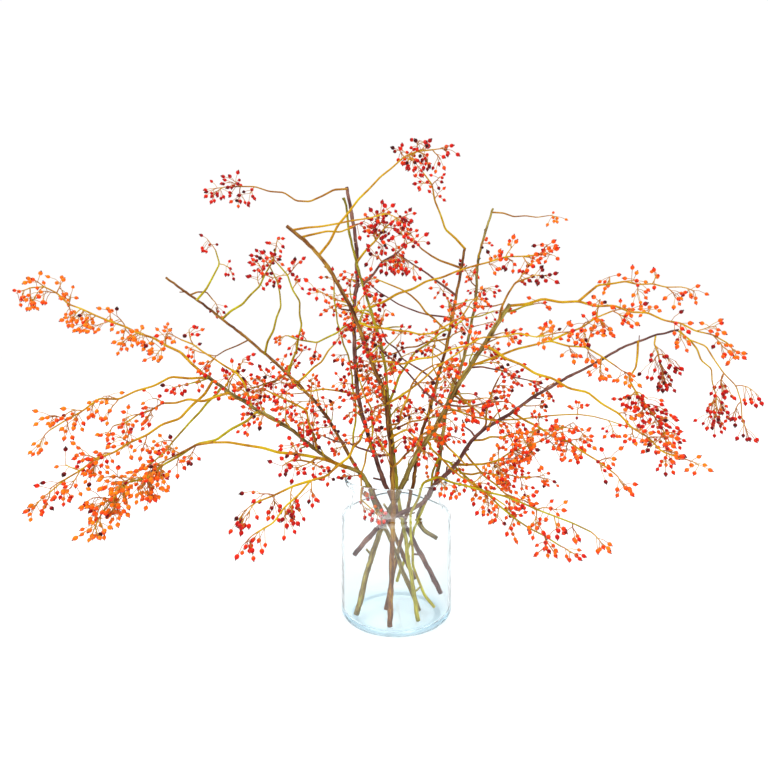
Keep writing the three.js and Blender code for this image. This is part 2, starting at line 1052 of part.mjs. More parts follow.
function jarSolid() {
  const geometry = new THREE.LatheGeometry(jarOutline(), JAR_SIDES);
  geometry.rotateX(Math.PI / 2);
  return solidFrom(geometry);
}

addPart("glass_jar", jarSolid(), GLASS);
CANES.forEach(addCane);
SHOOTS.forEach(addShoot);

export default parts;
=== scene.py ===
import math
import random

import bmesh
import bpy
from mathutils import Matrix, Vector


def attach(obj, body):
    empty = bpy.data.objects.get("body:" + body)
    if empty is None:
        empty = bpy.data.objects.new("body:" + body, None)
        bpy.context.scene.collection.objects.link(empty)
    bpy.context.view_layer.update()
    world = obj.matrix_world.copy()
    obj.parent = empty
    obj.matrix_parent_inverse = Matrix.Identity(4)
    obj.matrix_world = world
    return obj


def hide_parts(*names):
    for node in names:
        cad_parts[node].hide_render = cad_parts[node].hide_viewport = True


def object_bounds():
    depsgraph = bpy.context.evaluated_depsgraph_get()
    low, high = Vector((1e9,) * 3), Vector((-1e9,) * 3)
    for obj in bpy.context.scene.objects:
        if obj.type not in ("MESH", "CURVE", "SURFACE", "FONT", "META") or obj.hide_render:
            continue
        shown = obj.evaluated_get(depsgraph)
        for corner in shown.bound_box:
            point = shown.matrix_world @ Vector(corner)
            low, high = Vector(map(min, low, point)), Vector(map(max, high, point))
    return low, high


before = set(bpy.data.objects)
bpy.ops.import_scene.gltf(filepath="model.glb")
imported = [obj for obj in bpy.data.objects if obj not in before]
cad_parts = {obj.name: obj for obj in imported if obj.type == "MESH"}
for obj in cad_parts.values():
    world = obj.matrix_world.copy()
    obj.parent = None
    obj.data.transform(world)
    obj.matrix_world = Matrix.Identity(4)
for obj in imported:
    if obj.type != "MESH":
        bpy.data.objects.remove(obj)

cad_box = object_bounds()

# ---------------------------------------------------------------------------------------------
# The glass jar
# The real jar is one piece of clear soda glass, blown into a mould: a thick floor, a rounded
# heel and shoulder, a short neck and a flared lip that was fire polished round.
# ---------------------------------------------------------------------------------------------

MM = 0.001
JAR_BODY_RADIUS = 0.074
JAR_NECK_RADIUS = 0.0605
JAR_LIP_RADIUS = 0.070
JAR_FOOT_RADIUS = 0.060
JAR_HEIGHT = 0.184
JAR_SHOULDER_HEIGHT = 0.131
JAR_WALL = 0.0036
JAR_FLOOR = 0.007
JAR_PUNT = 0.0022
JAR_PUNT_RADIUS = 0.040
JAR_REST_RADIUS = 0.052
SHOULDER_WIDER = 1 * MM
SHOULDER_TURN = 80
# Each drop is measured down from the top of the lip.
NECK_FOOT_DROP = 32 * MM
NECK_TOP_DROP = 20 * MM
FLARE_DROP, FLARE_OUT = 14 * MM, 2.5 * MM
LIP_UNDER_DROP, LIP_UNDER_IN = 7 * MM, 1.4 * MM
LIP_INSIDE_DROP, LIP_INSIDE_IN = 8 * MM, 2.2 * MM
THROAT_FLARE_DROP, THROAT_FLARE_OUT = 15 * MM, 1 * MM
THROAT_DROP = 22 * MM
HEEL_STEPS = SHOULDER_STEPS = 10
LIP_STEPS = INNER_HEEL_STEPS = 8
JAR_SIDES = 96
SAME_PLACE = 1e-6
GLASS_TEAL = (0.25, 0.70, 0.88, 1)
GLASS_TINT_PER_METRE = 12


def arc(centre, radius, start, end, steps):
    """Outline points round a centre, from one angle to another in degrees."""
    angles = [math.radians(start + (end - start) * i / steps) for i in range(steps + 1)]
    return [(centre[0] + radius * math.cos(a), centre[1] + radius * math.sin(a)) for a in angles]


def jar_outline():
    """The jar's section from the middle of its underside, up outside and down inside."""
    heel = JAR_BODY_RADIUS - JAR_FOOT_RADIUS
    shoulder = JAR_BODY_RADIUS - JAR_NECK_RADIUS + SHOULDER_WIDER
    heel_centre = (JAR_FOOT_RADIUS, heel)
    shoulder_centre = (JAR_BODY_RADIUS - shoulder, JAR_SHOULDER_HEIGHT)
    inner_heel = heel - JAR_WALL
    inner_centre = (JAR_FOOT_RADIUS, JAR_FLOOR + inner_heel)
    lip_round = JAR_WALL / 2
    lip_centre = (JAR_LIP_RADIUS - lip_round, JAR_HEIGHT - lip_round)
    return [
        (0, JAR_PUNT),
        (JAR_PUNT_RADIUS, JAR_PUNT),
        (JAR_REST_RADIUS, 0),
        *arc(heel_centre, heel, -90, 0, HEEL_STEPS),
        *arc(shoulder_centre, shoulder, 0, SHOULDER_TURN, SHOULDER_STEPS),
        (JAR_NECK_RADIUS, JAR_HEIGHT - NECK_FOOT_DROP),
        (JAR_NECK_RADIUS, JAR_HEIGHT - NECK_TOP_DROP),
        (JAR_NECK_RADIUS + FLARE_OUT, JAR_HEIGHT - FLARE_DROP),
        (JAR_LIP_RADIUS - LIP_UNDER_IN, JAR_HEIGHT - LIP_UNDER_DROP),
        *arc(lip_centre, lip_round, 0, 180, LIP_STEPS),
        (JAR_LIP_RADIUS - JAR_WALL - LIP_INSIDE_IN, JAR_HEIGHT - LIP_INSIDE_DROP),
        (JAR_NECK_RADIUS - JAR_WALL + THROAT_FLARE_OUT, JAR_HEIGHT - THROAT_FLARE_DROP),
        (JAR_NECK_RADIUS - JAR_WALL, JAR_HEIGHT - THROAT_DROP),
        *arc(shoulder_centre, shoulder - JAR_WALL, SHOULDER_TURN, 0, SHOULDER_STEPS),
        *arc(inner_centre, inner_heel, 0, -90, INNER_HEEL_STEPS),
        (0, JAR_FLOOR),
    ]


def finished(name, bm, materials):
    """The bmesh as a smooth object of the scene, with its materials."""
    mesh = bpy.data.meshes.new(name)
    bm.to_mesh(mesh)
    bm.free()
    for material in materials:
        mesh.materials.append(material)
    mesh.shade_smooth()
    piece = bpy.data.objects.new(name, mesh)
    bpy.context.scene.collection.objects.link(piece)
    return piece


def new_material(name):
    """A material, its nodes and links, and its Principled shader."""
    material = bpy.data.materials.new(name)
    material.use_nodes = True
    nodes = material.node_tree.nodes
    return material, nodes, material.node_tree.links, nodes["Principled BSDF"]


def noise_on_object(nodes, links, scale, detail=4.0, roughness=0.55):
    """A noise texture on Object coordinates, with its scale in lumps per metre."""
    place = nodes.new("ShaderNodeTexCoord")
    noise = nodes.new("ShaderNodeTexNoise")
    noise.inputs["Scale"].default_value = scale
    noise.inputs["Detail"].default_value = detail
    noise.inputs["Roughness"].default_value = roughness
    links.new(place.outputs["Object"], noise.inputs["Vector"])
    return noise


def add_bump(nodes, links, shader, height, strength, distance):
    """A bump on the shader from a height socket."""
    bump = nodes.new("ShaderNodeBump")
    bump.inputs["Strength"].default_value = strength
    bump.inputs["Distance"].default_value = distance
    links.new(height, bump.inputs["Height"])
    links.new(bump.outputs["Normal"], shader.inputs["Normal"])


def clear_glass():
    """Faintly teal glass that hardly bends what is seen through it, with a glossy skin."""
    material, nodes, links, shader = new_material("clear_soda_glass")
    shader.inputs["Base Color"].default_value = (0.97, 0.995, 0.995, 1)
    shader.inputs["Roughness"].default_value = 0.0
    shader.inputs["IOR"].default_value = 1.07
    shader.inputs["Coat Weight"].default_value = 0.45
    shader.inputs["Coat IOR"].default_value = 1.9
    shader.inputs["Coat Roughness"].default_value = 0.02
    shader.inputs["Transmission Weight"].default_value = 1.0
    ripple = noise_on_object(nodes, links, 26, detail=1.0)
    add_bump(nodes, links, shader, ripple.outputs["Fac"], 0.12, 0.0008)
    output = nodes["Material Output"]
    shade = nodes.new("ShaderNodeBsdfTransparent")
    shade.inputs["Color"].default_value = (0.95, 0.975, 0.985, 1)
    rays = nodes.new("ShaderNodeLightPath")
    either = nodes.new("ShaderNodeMixShader")
    links.new(rays.outputs["Is Shadow Ray"], either.inputs["Fac"])
    links.new(shader.outputs["BSDF"], either.inputs[1])
    links.new(shade.outputs["BSDF"], either.inputs[2])
    links.new(either.outputs["Shader"], output.inputs["Surface"])
    tint = nodes.new("ShaderNodeVolumeAbsorption")
    tint.inputs["Color"].default_value = GLASS_TEAL
    tint.inputs["Density"].default_value = GLASS_TINT_PER_METRE
    links.new(tint.outputs["Volume"], output.inputs["Volume"])
    return material


def make_jar():
    """The outline spun once round the jar's axis."""
    bm = bmesh.new()
    rim = [bm.verts.new((r, 0, z)) for r, z in jar_outline()]
    edges = [bm.edges.new(pair) for pair in zip(rim, rim[1:])]
    bmesh.ops.spin(
        bm, geom=rim + edges, cent=(0, 0, 0), axis=(0, 0, 1), angle=math.tau,
        steps=JAR_SIDES, use_merge=True, use_duplicate=False,
    )
    bmesh.ops.remove_doubles(bm, verts=bm.verts[:], dist=SAME_PLACE)
    bmesh.ops.recalc_face_normals(bm, faces=bm.faces[:])
    return finished("glass_jar_blown", bm, [clear_glass()])


jar = make_jar()
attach(jar, "root")
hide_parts("glass_jar")

# ---------------------------------------------------------------------------------------------
# The canes
# The real canes are one-year and two-year rose wood, cut with secateurs at both ends. They
# stand loose in the jar and lean on its rim. Their bark is smooth, with a swelling and an old
# bud at each node, and the cut ends show pale wood round a small pith. Routes are in whole
# millimetres, from a stem's lower end to its tip.
# ---------------------------------------------------------------------------------------------

SPAN_STEPS = 24
CANE_SIDES = 14
CANE_RING_SPACING = 0.005
NODE_SPACING = 0.052
NODE_SWELLING = 0.15
NODE_HALF_LENGTH = 0.006
CANE_SWAY = 0.0010
SWAY_KEPT, SWAY_ADDED = 0.8, 0.6
BARK_STRETCH = 0.10
BARK_STREAKS_PER_METRE = 520
BARK_PATCHES_PER_METRE = 34
CUT_BARK_SHARE, CUT_PITH_SHARE = 0.18, 0.45
BUD_LENGTH = 0.0042
BUD_RADII = (0.0011, 0.0012, 0.0003)
SNAG_LENGTH = 0.011
SNAG_CHANCE = 0.3
SNAG_THICKNESS = 0.45
BUD_SIDES = 8
BUD_ROOT_DEPTH = 0.6
BARK, CUT = range(2)
DOWN = Vector((0, 0, -1))


def span_point(a, b, c, d, share):
    """A point on the centripetal Catmull-Rom curve between b and c."""
    t1 = math.sqrt((b - a).length)
    t2 = t1 + math.sqrt((c - b).length)
    t3 = t2 + math.sqrt((d - c).length)
    t = t1 + (t2 - t1) * share
    ab = a.lerp(b, t / t1)
    bc = b.lerp(c, (t - t1) / (t2 - t1))
    cd = c.lerp(d, (t - t2) / (t3 - t2))
    abc = ab.lerp(bc, t / t2)
    bcd = bc.lerp(cd, (t - t1) / (t3 - t1))
    return abc.lerp(bcd, share)


def point_along(line, share):
    """The point at a share of a line's length, and the direction there."""
    lengths = [(b - a).length for a, b in zip(line, line[1:])]
    left = share * sum(lengths)
    for a, b, length in zip(line, line[1:], lengths):
        if left <= length or b is line[-1]:
            return a.lerp(b, left / length), (b - a).normalized()
        left -= length


def metres(route):
    """A route's points in metres, from whole millimetres."""
    return [Vector([c / 1000 for c in point]) for point in route]


def smooth_line(route, spacing):
    """Points an even distance apart on a smooth curve through the route."""
    ends = [2 * route[0] - route[1], *route, 2 * route[-1] - route[-2]]
    line = []
    for a, b, c, d in zip(ends, ends[1:], ends[2:], ends[3:]):
        line += [span_point(a, b, c, d, i / SPAN_STEPS) for i in range(SPAN_STEPS)]
    line.append(ends[-2])
    length = sum((b - a).length for a, b in zip(line, line[1:]))
    count = max(3, round(length / spacing))
    return [point_along(line, i / count)[0] for i in range(count + 1)]


def any_direction(chance):
    """A unit vector that points any way."""
    while True:
        way = Vector([chance.uniform(-1, 1) for _ in range(3)])
        if 0.1 < way.length < 1:
            return way.normalized()


def sideways(way, chance):
    """A unit vector square to the given direction."""
    return way.cross(any_direction(chance)).normalized()


def ring_places(line, radii):
    """The placing of a unit circle at each point of a line, turned as little as possible."""
    side = (line[1] - line[0]).orthogonal().normalized()
    places = []
    for i, (point, radius) in enumerate(zip(line, radii)):
        along = (line[min(i + 1, len(line) - 1)] - line[max(i - 1, 0)]).normalized()
        side = (side - along * side.dot(along)).normalized()
        over = along.cross(side)
        turned = Matrix((side, over, along)).transposed().to_4x4()
        places.append(Matrix.Translation(point) @ turned @ Matrix.Scale(radius, 4))
    return places


def grow_limb(bm, line, radii, sides, grain, end_finish):
    """A round limb: a circle extruded from ring to ring, with both ends closed by a cut."""
    places = ring_places(line, radii)
    first = bmesh.ops.create_circle(bm, segments=sides, radius=1, matrix=places[0])
    verts = first["verts"]
    edges = list(dict.fromkeys(e for v in verts for e in v.link_edges))
    ends = [edges]
    travelled = 0
    mark_grain(verts, grain, places[0], radii[0], travelled)
    for i in range(1, len(places)):
        geom = bmesh.ops.extrude_edge_only(bm, edges=edges)["geom"]
        verts = [g for g in geom if isinstance(g, bmesh.types.BMVert)]
        edges = [g for g in geom if isinstance(g, bmesh.types.BMEdge)]
        step = places[i] @ places[i - 1].inverted()
        bmesh.ops.transform(bm, matrix=step, verts=verts)
        travelled += (line[i] - line[i - 1]).length
        mark_grain(verts, grain, places[i], radii[i], travelled)
    ends.append(edges)
    for loop in ends:
        face = bmesh.ops.contextual_create(bm, geom=loop)["faces"][0]
        bmesh.ops.inset_individual(bm, faces=[face], thickness=CUT_BARK_SHARE * radii[0])
        face.material_index = end_finish
        bmesh.ops.inset_individual(bm, faces=[face], thickness=CUT_PITH_SHARE * radii[0])


def mark_grain(verts, grain, place, radius, travelled):
    """Stores where each vertex lies round and along its limb, for streaks in the bark."""
    back = place.inverted()
    for vert in verts:
        local = back @ vert.co
        vert[grain] = (local.x * radius, local.y * radius, travelled * BARK_STRETCH)


def ramp(nodes, stops):
    """A colour ramp with the given stops, each a position and a colour."""
    made = nodes.new("ShaderNodeValToRGB")
    elements = made.color_ramp.elements
    while len(elements) < len(stops):
        elements.new(0.5)
    for element, (position, colour) in zip(elements, stops):
        element.position = position
        element.color = (*colour, 1)
    return made


def cane_bark(name, dark, middle, light):
    """Smooth rose bark: fine streaks along the cane over slow patches of sun and shade."""
    material, nodes, links, shader = new_material(name)
    grain = nodes.new("ShaderNodeAttribute")
    grain.attribute_name = "grain"
    streaks = nodes.new("ShaderNodeTexNoise")
    streaks.inputs["Scale"].default_value = BARK_STREAKS_PER_METRE
    streaks.inputs["Detail"].default_value = 5
    links.new(grain.outputs["Vector"], streaks.inputs["Vector"])
    patches = noise_on_object(nodes, links, BARK_PATCHES_PER_METRE, detail=3)
    mixed = nodes.new("ShaderNodeMix")
    mixed.data_type = "FLOAT"
    mixed.inputs["Factor"].default_value = 0.5
    links.new(streaks.outputs["Fac"], mixed.inputs[2])
    links.new(patches.outputs["Fac"], mixed.inputs[3])
    colours = ramp(nodes, [(0.38, dark), (0.50, middle), (0.60, light)])
    links.new(mixed.outputs[0], colours.inputs["Fac"])
    links.new(colours.outputs["Color"], shader.inputs["Base Color"])
    shader.inputs["Roughness"].default_value = 0.65
    shader.inputs["Specular IOR Level"].default_value = 0.15
    add_bump(nodes, links, shader, streaks.outputs["Fac"], 0.5, 0.0004)
    return material


def cut_wood():
    """A pale secateur cut with faint rays."""
    material, nodes, links, shader = new_material("fresh_cut_wood")
    rays = noise_on_object(nodes, links, 1400, detail=2)
    colours = ramp(nodes, [(0.35, (0.36, 0.24, 0.11)), (0.65, (0.62, 0.50, 0.29))])
    links.new(rays.outputs["Fac"], colours.inputs["Fac"])
    links.new(colours.outputs["Color"], shader.inputs["Base Color"])
    shader.inputs["Roughness"].default_value = 0.8
    return material


BARKS = {
    "purple": cane_bark(
        "purple_brown_bark", (0.045, 0.016, 0.015), (0.120, 0.046, 0.038), (0.22, 0.105, 0.075),
    ),
    "brown": cane_bark(
        "red_brown_bark", (0.055, 0.016, 0.006), (0.180, 0.066, 0.014), (0.37, 0.205, 0.026),
    ),
    "olive": cane_bark(
        "olive_bark", (0.060, 0.036, 0.010), (0.190, 0.125, 0.030), (0.36, 0.290, 0.060),
    ),
    "green": cane_bark(
        "yellow_green_bark", (0.100, 0.075, 0.008), (0.28, 0.24, 0.016), (0.46, 0.39, 0.030),
    ),
}
CUT_WOOD = cut_wood()
cane_lines = {}


def cane_radii(line, radii, chance):
    """The radius at each point: an even taper, swollen at each node."""
    nodes_at = []
    place = NODE_SPACING * chance.uniform(0.3, 0.8)
    length = sum((b - a).length for a, b in zip(line, line[1:]))
    while place < length:
        nodes_at.append(place)
        place += NODE_SPACING * chance.uniform(0.75, 1.25)
    made = []
    travelled = 0
    for i, point in enumerate(line):
        if i:
            travelled += (point - line[i - 1]).length
        radius = radii[0] + (radii[1] - radii[0]) * travelled / length
        nearest = min((abs(travelled - n) for n in nodes_at), default=1)
        radius *= 1 + NODE_SWELLING * math.exp(-((nearest / NODE_HALF_LENGTH) ** 2))
        made.append(radius)
    return made, [n / length for n in nodes_at]


def sway(line, amount, chance):
    """The line with small bends from side to side, as wood grows, and its ends kept."""
    moved = [line[0]]
    drift = Vector((0, 0, 0))
    for point in line[1:-1]:
        drift = drift * SWAY_KEPT + any_direction(chance) * amount * SWAY_ADDED
        moved.append(point + drift)
    return moved + [line[-1]]


def grow_cane(name, bark, radii, route):
    """One cane with its buds, and snags where twigs were cut away."""
    chance = random.Random(name)
    line = sway(smooth_line(metres(route), CANE_RING_SPACING), CANE_SWAY, chance)
    bm = bmesh.new()
    grain = bm.verts.layers.float_vector.new("grain")
    widths, nodes_at = cane_radii(line, radii, chance)
    grow_limb(bm, line, widths, CANE_SIDES, grain, CUT)
    for share in nodes_at:
        base, along = point_along(line, share)
        side = sideways(along, chance)
        radius = radii[0] + (radii[1] - radii[0]) * share
        root = base + side * radius * BUD_ROOT_DEPTH
        if chance.random() < SNAG_CHANCE:
            tip = root + (side + along * 0.7).normalized() * SNAG_LENGTH * chance.uniform(0.6, 1.2)
            widths_here, end_finish = [radius * SNAG_THICKNESS] * 3, CUT
        else:
            tip = root + (side * 0.7 + along).normalized() * BUD_LENGTH
            widths_here, end_finish = BUD_RADII, BARK
        grow_limb(bm, [root, root.lerp(tip, 0.5), tip], widths_here, BUD_SIDES, grain, end_finish)
    bmesh.ops.recalc_face_normals(bm, faces=bm.faces[:])
    piece = finished(name + "_wood", bm, [BARKS[bark], CUT_WOOD])
    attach(piece, "root")
    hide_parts(name)
    cane_lines[name] = (line, radii)


grow_cane("cane_centre", "purple", (0.0032, 0.0025), [
    (60, -2, 28), (-12, 5, 165), (-40, 6, 244), (-53, 18, 298), (-60, 48, 421), (-57, 58, 460),
    (-61, 72, 527), (-75, 88, 603),
])
grow_cane("cane_upper_left", "brown", (0.0033, 0.0022), [
    (-8, -56, 10), (-4, -46, 165), (-8, -49, 235), (-13, -54, 291), (-30, -58, 339), (-59, -62, 412),
    (-95, -67, 472), (-134, -70, 507),
])
grow_cane("cane_green", "green", (0.0028, 0.0014), [
    (28, -42, 10), (3, -10, 165), (-8, -13, 261), (-20, -20, 363), (-33, -24, 405), (-58, -28, 494),
    (-68, -31, 553),
])
grow_cane("cane_high_left", "brown", (0.0028, 0.0017), [
    (25, 13, 40), (-12, 20, 120), (-37, 22, 165), (-52, 26, 185), (-81, 34, 230), (-105, 40, 269),
    (-158, 52, 321), (-258, 70, 402), (-346, 82, 465),
])
grow_cane("cane_left", "olive", (0.0030, 0.0021), [
    (30, -14, 10), (-35, -8, 165), (-47, -9, 190), (-83, -14, 207), (-144, -26, 256), (-205, -38, 295),
    (-244, -46, 325),
])
grow_cane("cane_thick", "olive", (0.0037, 0.0029), [
    (-52, -26, 11), (-24, -24, 110), (1, -27, 165), (24, -32, 214), (54, -36, 262), (80, -42, 312),
    (106, -46, 354), (143, -52, 413),
])
grow_cane("cane_slim_right", "brown", (0.0028, 0.0020), [
    (-14, -11, 10), (22, 26, 165), (34, 35, 230), (50, 42, 280), (71, 54, 356), (86, 65, 424),
    (103, 80, 509),
])
grow_cane("cane_top_right", "olive", (0.0030, 0.0018), [
    (56, 8, 98), (35, 10, 113), (31, 10, 131), (38, 8, 147), (52, 6, 171), (76, 60, 284),
    (101, 84, 343), (123, 111, 427), (131, 129, 503), (157, 147, 586),
])
grow_cane("cane_far_right", "purple", (0.0032, 0.0013), [
    (-54, -30, 90), (-19, -36, 131), (34, -33, 160), (50, -32, 182), (76, -29, 206), (103, -22, 240),
    (151, -16, 272), (199, -12, 302), (263, -10, 338), (324, -6, 368), (379, -6, 383),
])

# ---------------------------------------------------------------------------------------------
# The side shoots and their hips
# Each real shoot grew on a cane in one summer: a thin zigzag twig, golden green to brown, whose
# branchlets end in loose flat clusters of hips on pale hair-thin stalks. A hip is a small waxy
# egg, orange to crimson, with the dry dark remains of the flower at its tip. Two slim canes
# that arch over the rim fruit along their own length, and are grown in the same way.
# ---------------------------------------------------------------------------------------------

HIP_RADIUS = 0.0026
HIP_LENGTH = 0.0057
HIP_SIDES, HIP_ROWS = 8, 6
HIP_NARROWS_FROM, HIP_NARROWING = 0.55, 0.16
HIP_SIZES = (0.84, 1.10)
HIP_ROOM = 0.0050
RIPER_TO_TIP = 0.30
RIPENESS_SPREAD = 0.13
FULLY_RIPE = 0.80
OVERRIPE_SHARE, OVERRIPE_WITH_AGE = 0.01, 0.18
CALYX_POINTS = 5
CALYX_NECK, CALYX_TIP, CALYX_HEIGHT, CALYX_LIFT = 0.00060, 0.00095, 0.0010, 0.0002
SHOOT_RADII = (0.0019, 0.0011)
INTERNODE = 0.021
SHOOT_SWAY = 0.0022
SHOOT_BEVEL = 0.001
CORNER_EASED = 0.12
HIPS_PER_CLUSTER = 6.5
BRANCHLET_LENGTH = 0.007
BRANCHLET_PER_HIP = 0.0016
BRANCHLET_RADIUS = 0.00062
BRANCHLET_WANDER, BRANCHLET_SAG = 0.28, 0.30
BRANCHLET_FORWARD = 0.55
STALK_RADIUS = 0.00036
STALK_SHORTEST, STALK_LONGEST = 0.006, 0.014
FIRST_STALK_AT = 0.30
STALK_FORWARD, STALK_SAG = 0.7, 0.7
STALK_TO_BEND, BEND_TO_HIP = 0.55, 0.45
HIP_SAG, HIP_WANDER = 0.55, 0.2
TRIES = 10
GOLDEN_TURN = math.pi * (3 - math.sqrt(5))
ROOM_OUTSIDE_CAD = 0.008
LOWEST_HIP = 0.02
CLEAR_ABOVE_LIP = 0.004
GLASS_ZONE = (0.050, 0.079)
FORK_THICKNESS = 0.85
FORK_FRUIT_FROM = 0.3
SHOOT_TIP = 0.85
TWIG_KINDS = ("golden", "green", "brown", "purple")
STALK, SKIN, CALYX = range(len(TWIG_KINDS), len(TWIG_KINDS) + 3)


def twig_bark(name, dark, middle, light):
    """The thin skin of a young shoot, mottled along its length."""
    material, nodes, links, shader = new_material(name)
    mottle = noise_on_object(nodes, links, 48, detail=5, roughness=0.6)
    colours = ramp(nodes, [(0.36, dark), (0.50, middle), (0.66, light)])
    links.new(mottle.outputs["Fac"], colours.inputs["Fac"])
    links.new(colours.outputs["Color"], shader.inputs["Base Color"])
    shader.inputs["Roughness"].default_value = 0.6
    shader.inputs["Specular IOR Level"].default_value = 0.12
    fine = noise_on_object(nodes, links, 1500, detail=2)
    add_bump(nodes, links, shader, fine.outputs["Fac"], 0.3, 0.0002)
    return material


def hip_skin():
    """Waxy skin, from golden orange through scarlet to crimson as a hip ripens."""
    material, nodes, links, shader = new_material("waxy_hip_skin")
    ripeness = nodes.new("ShaderNodeAttribute")
    ripeness.attribute_name = "ripeness"
    blotch = noise_on_object(nodes, links, 320, detail=3)
    spread = nodes.new("ShaderNodeMath")
    spread.operation = "MULTIPLY_ADD"
    spread.inputs[1].default_value = 0.22
    spread.inputs[2].default_value = -0.11
    links.new(blotch.outputs["Fac"], spread.inputs[0])
    ripe = nodes.new("ShaderNodeMath")
    ripe.operation = "ADD"
    links.new(ripeness.outputs["Fac"], ripe.inputs[0])
    links.new(spread.outputs["Value"], ripe.inputs[1])
    colours = ramp(nodes, [
        (0.00, (0.95, 0.21, 0.001)),
        (0.22, (0.90, 0.105, 0.001)),
        (0.45, (0.70, 0.014, 0.001)),
        (0.68, (0.44, 0.002, 0.002)),
        (0.86, (0.20, 0.001, 0.002)),
        (1.00, (0.040, 0.001, 0.002)),
    ])
    links.new(ripe.outputs["Value"], colours.inputs["Fac"])
    links.new(colours.outputs["Color"], shader.inputs["Base Color"])
    shader.inputs["Roughness"].default_value = 0.34
    shader.inputs["Specular IOR Level"].default_value = 0.14
    add_bump(nodes, links, shader, blotch.outputs["Fac"], 0.15, 0.0004)
    return material


def dry_calyx():
    """The dry dark tip that the flower leaves on a hip."""
    material, nodes, links, shader = new_material("dry_calyx")
    fibres = noise_on_object(nodes, links, 1200, detail=3)
    colours = ramp(nodes, [(0.35, (0.018, 0.010, 0.010)), (0.70, (0.10, 0.045, 0.030))])
    links.new(fibres.outputs["Fac"], colours.inputs["Fac"])
    links.new(colours.outputs["Color"], shader.inputs["Base Color"])
    shader.inputs["Roughness"].default_value = 0.9
    return material


TWIG_BARKS = {
    "golden": twig_bark(
        "golden_twig_bark", (0.32, 0.125, 0.004), (0.50, 0.27, 0.004), (0.58, 0.42, 0.008),
    ),
    "green": twig_bark(
        "green_twig_bark", (0.27, 0.17, 0.003), (0.38, 0.31, 0.004), (0.50, 0.46, 0.008),
    ),
    "brown": twig_bark(
        "brown_twig_bark", (0.17, 0.055, 0.008), (0.34, 0.140, 0.012), (0.50, 0.28, 0.016),
    ),
    "purple": twig_bark(
        "purple_twig_bark", (0.09, 0.030, 0.026), (0.18, 0.065, 0.050), (0.32, 0.15, 0.070),
    ),
}
PALE_STALK = twig_bark(
    "pale_stalk_bark", (0.30, 0.090, 0.018), (0.46, 0.20, 0.024), (0.56, 0.34, 0.026),
)
FINISHES = [*(TWIG_BARKS[kind] for kind in TWIG_KINDS), PALE_STALK, hip_skin(), dry_calyx()]


def hip_shape():
    """One hip standing on its stalk's end: a small egg with a dry flared tip."""
    bm = bmesh.new()
    middle = Matrix.Translation((0, 0, HIP_LENGTH / 2))
    size = Matrix.Diagonal((HIP_RADIUS, HIP_RADIUS, HIP_LENGTH / 2, 1))
    bmesh.ops.create_uvsphere(
        bm, u_segments=HIP_SIDES, v_segments=HIP_ROWS, radius=1, matrix=middle @ size,
    )
    for vert in bm.verts:
        share = vert.co.z / HIP_LENGTH
        past_widest = max(0, share - HIP_NARROWS_FROM) / (1 - HIP_NARROWS_FROM)
        narrow = 1 - HIP_NARROWING * past_widest
        vert.co.x *= narrow
        vert.co.y *= narrow
    for face in bm.faces:
        face.material_index = SKIN
    tip = Matrix.Translation((0, 0, HIP_LENGTH + CALYX_LIFT))
    calyx = bmesh.ops.create_cone(
        bm, cap_ends=True, segments=CALYX_POINTS, radius1=CALYX_NECK, radius2=CALYX_TIP,
        depth=CALYX_HEIGHT, matrix=tip,
    )
    for face in {f for v in calyx["verts"] for f in v.link_faces}:
        face.material_index = CALYX
    mesh = bpy.data.meshes.new("one_hip")
    bm.to_mesh(mesh)
    bm.free()
    return mesh


ONE_HIP = hip_shape()
hip_places = {}


def cells_round(place):
    """The keys of the 27 cells of space at and round a place."""
    x, y, z = (math.floor(c / HIP_LENGTH) for c in place)
    return [(x + i, y + j, z + k) for i in (-1, 0, 1) for j in (-1, 0, 1) for k in (-1, 0, 1)]


def keep_clear(place, radius):
    """Notes that something fills the space round a place."""
    key = tuple(math.floor(c / HIP_LENGTH) for c in place)
    hip_places.setdefault(key, []).append((place, radius))


def is_free(place):
    """True if a hip fits: in the model's box, and off hips, upright canes, jar and floor."""
    low, high = cad_box
    room = ROOM_OUTSIDE_CAD
    if any(place[i] < low[i] - room or place[i] > high[i] + room for i in range(3)):
        return False
    inner, outer = GLASS_ZONE
    at_jar = place.z < JAR_HEIGHT + CLEAR_ABOVE_LIP
    if place.z < LOWEST_HIP or (at_jar and inner < place.xy.length < outer):
        return False
    near = (item for key in cells_round(place) for item in hip_places.get(key, ()))
    return all((place - other).length > HIP_ROOM / 2 + radius for other, radius in near)


for cane_line, cane_ends in cane_lines.values():
    for step in cane_line:
        keep_clear(step, cane_ends[0])


def zigzag(line, amount, chance):
    """A twig's line: straight from node to node, and turned a little at each node."""
    side = sideways(line[-1] - line[0], chance)
    moved = [line[0]]
    for i, point in enumerate(line[1:], 1):
        along = (point - line[i - 1]).normalized()
        side = (side - along * side.dot(along)).normalized()
        flip = 1 if i % 2 else -1
        moved.append(point + side * flip * amount * chance.uniform(0.4, 1.2))
        side = Matrix.Rotation(chance.uniform(-0.5, 0.5), 3, along) @ side
    return moved


def rounded(line):
    """The line with its corners eased."""
    eased = [line[0]]
    for a, b in zip(line, line[1:]):
        eased += [a.lerp(b, CORNER_EASED), a.lerp(b, 1 - CORNER_EASED)]
    return eased + [line[-1]]


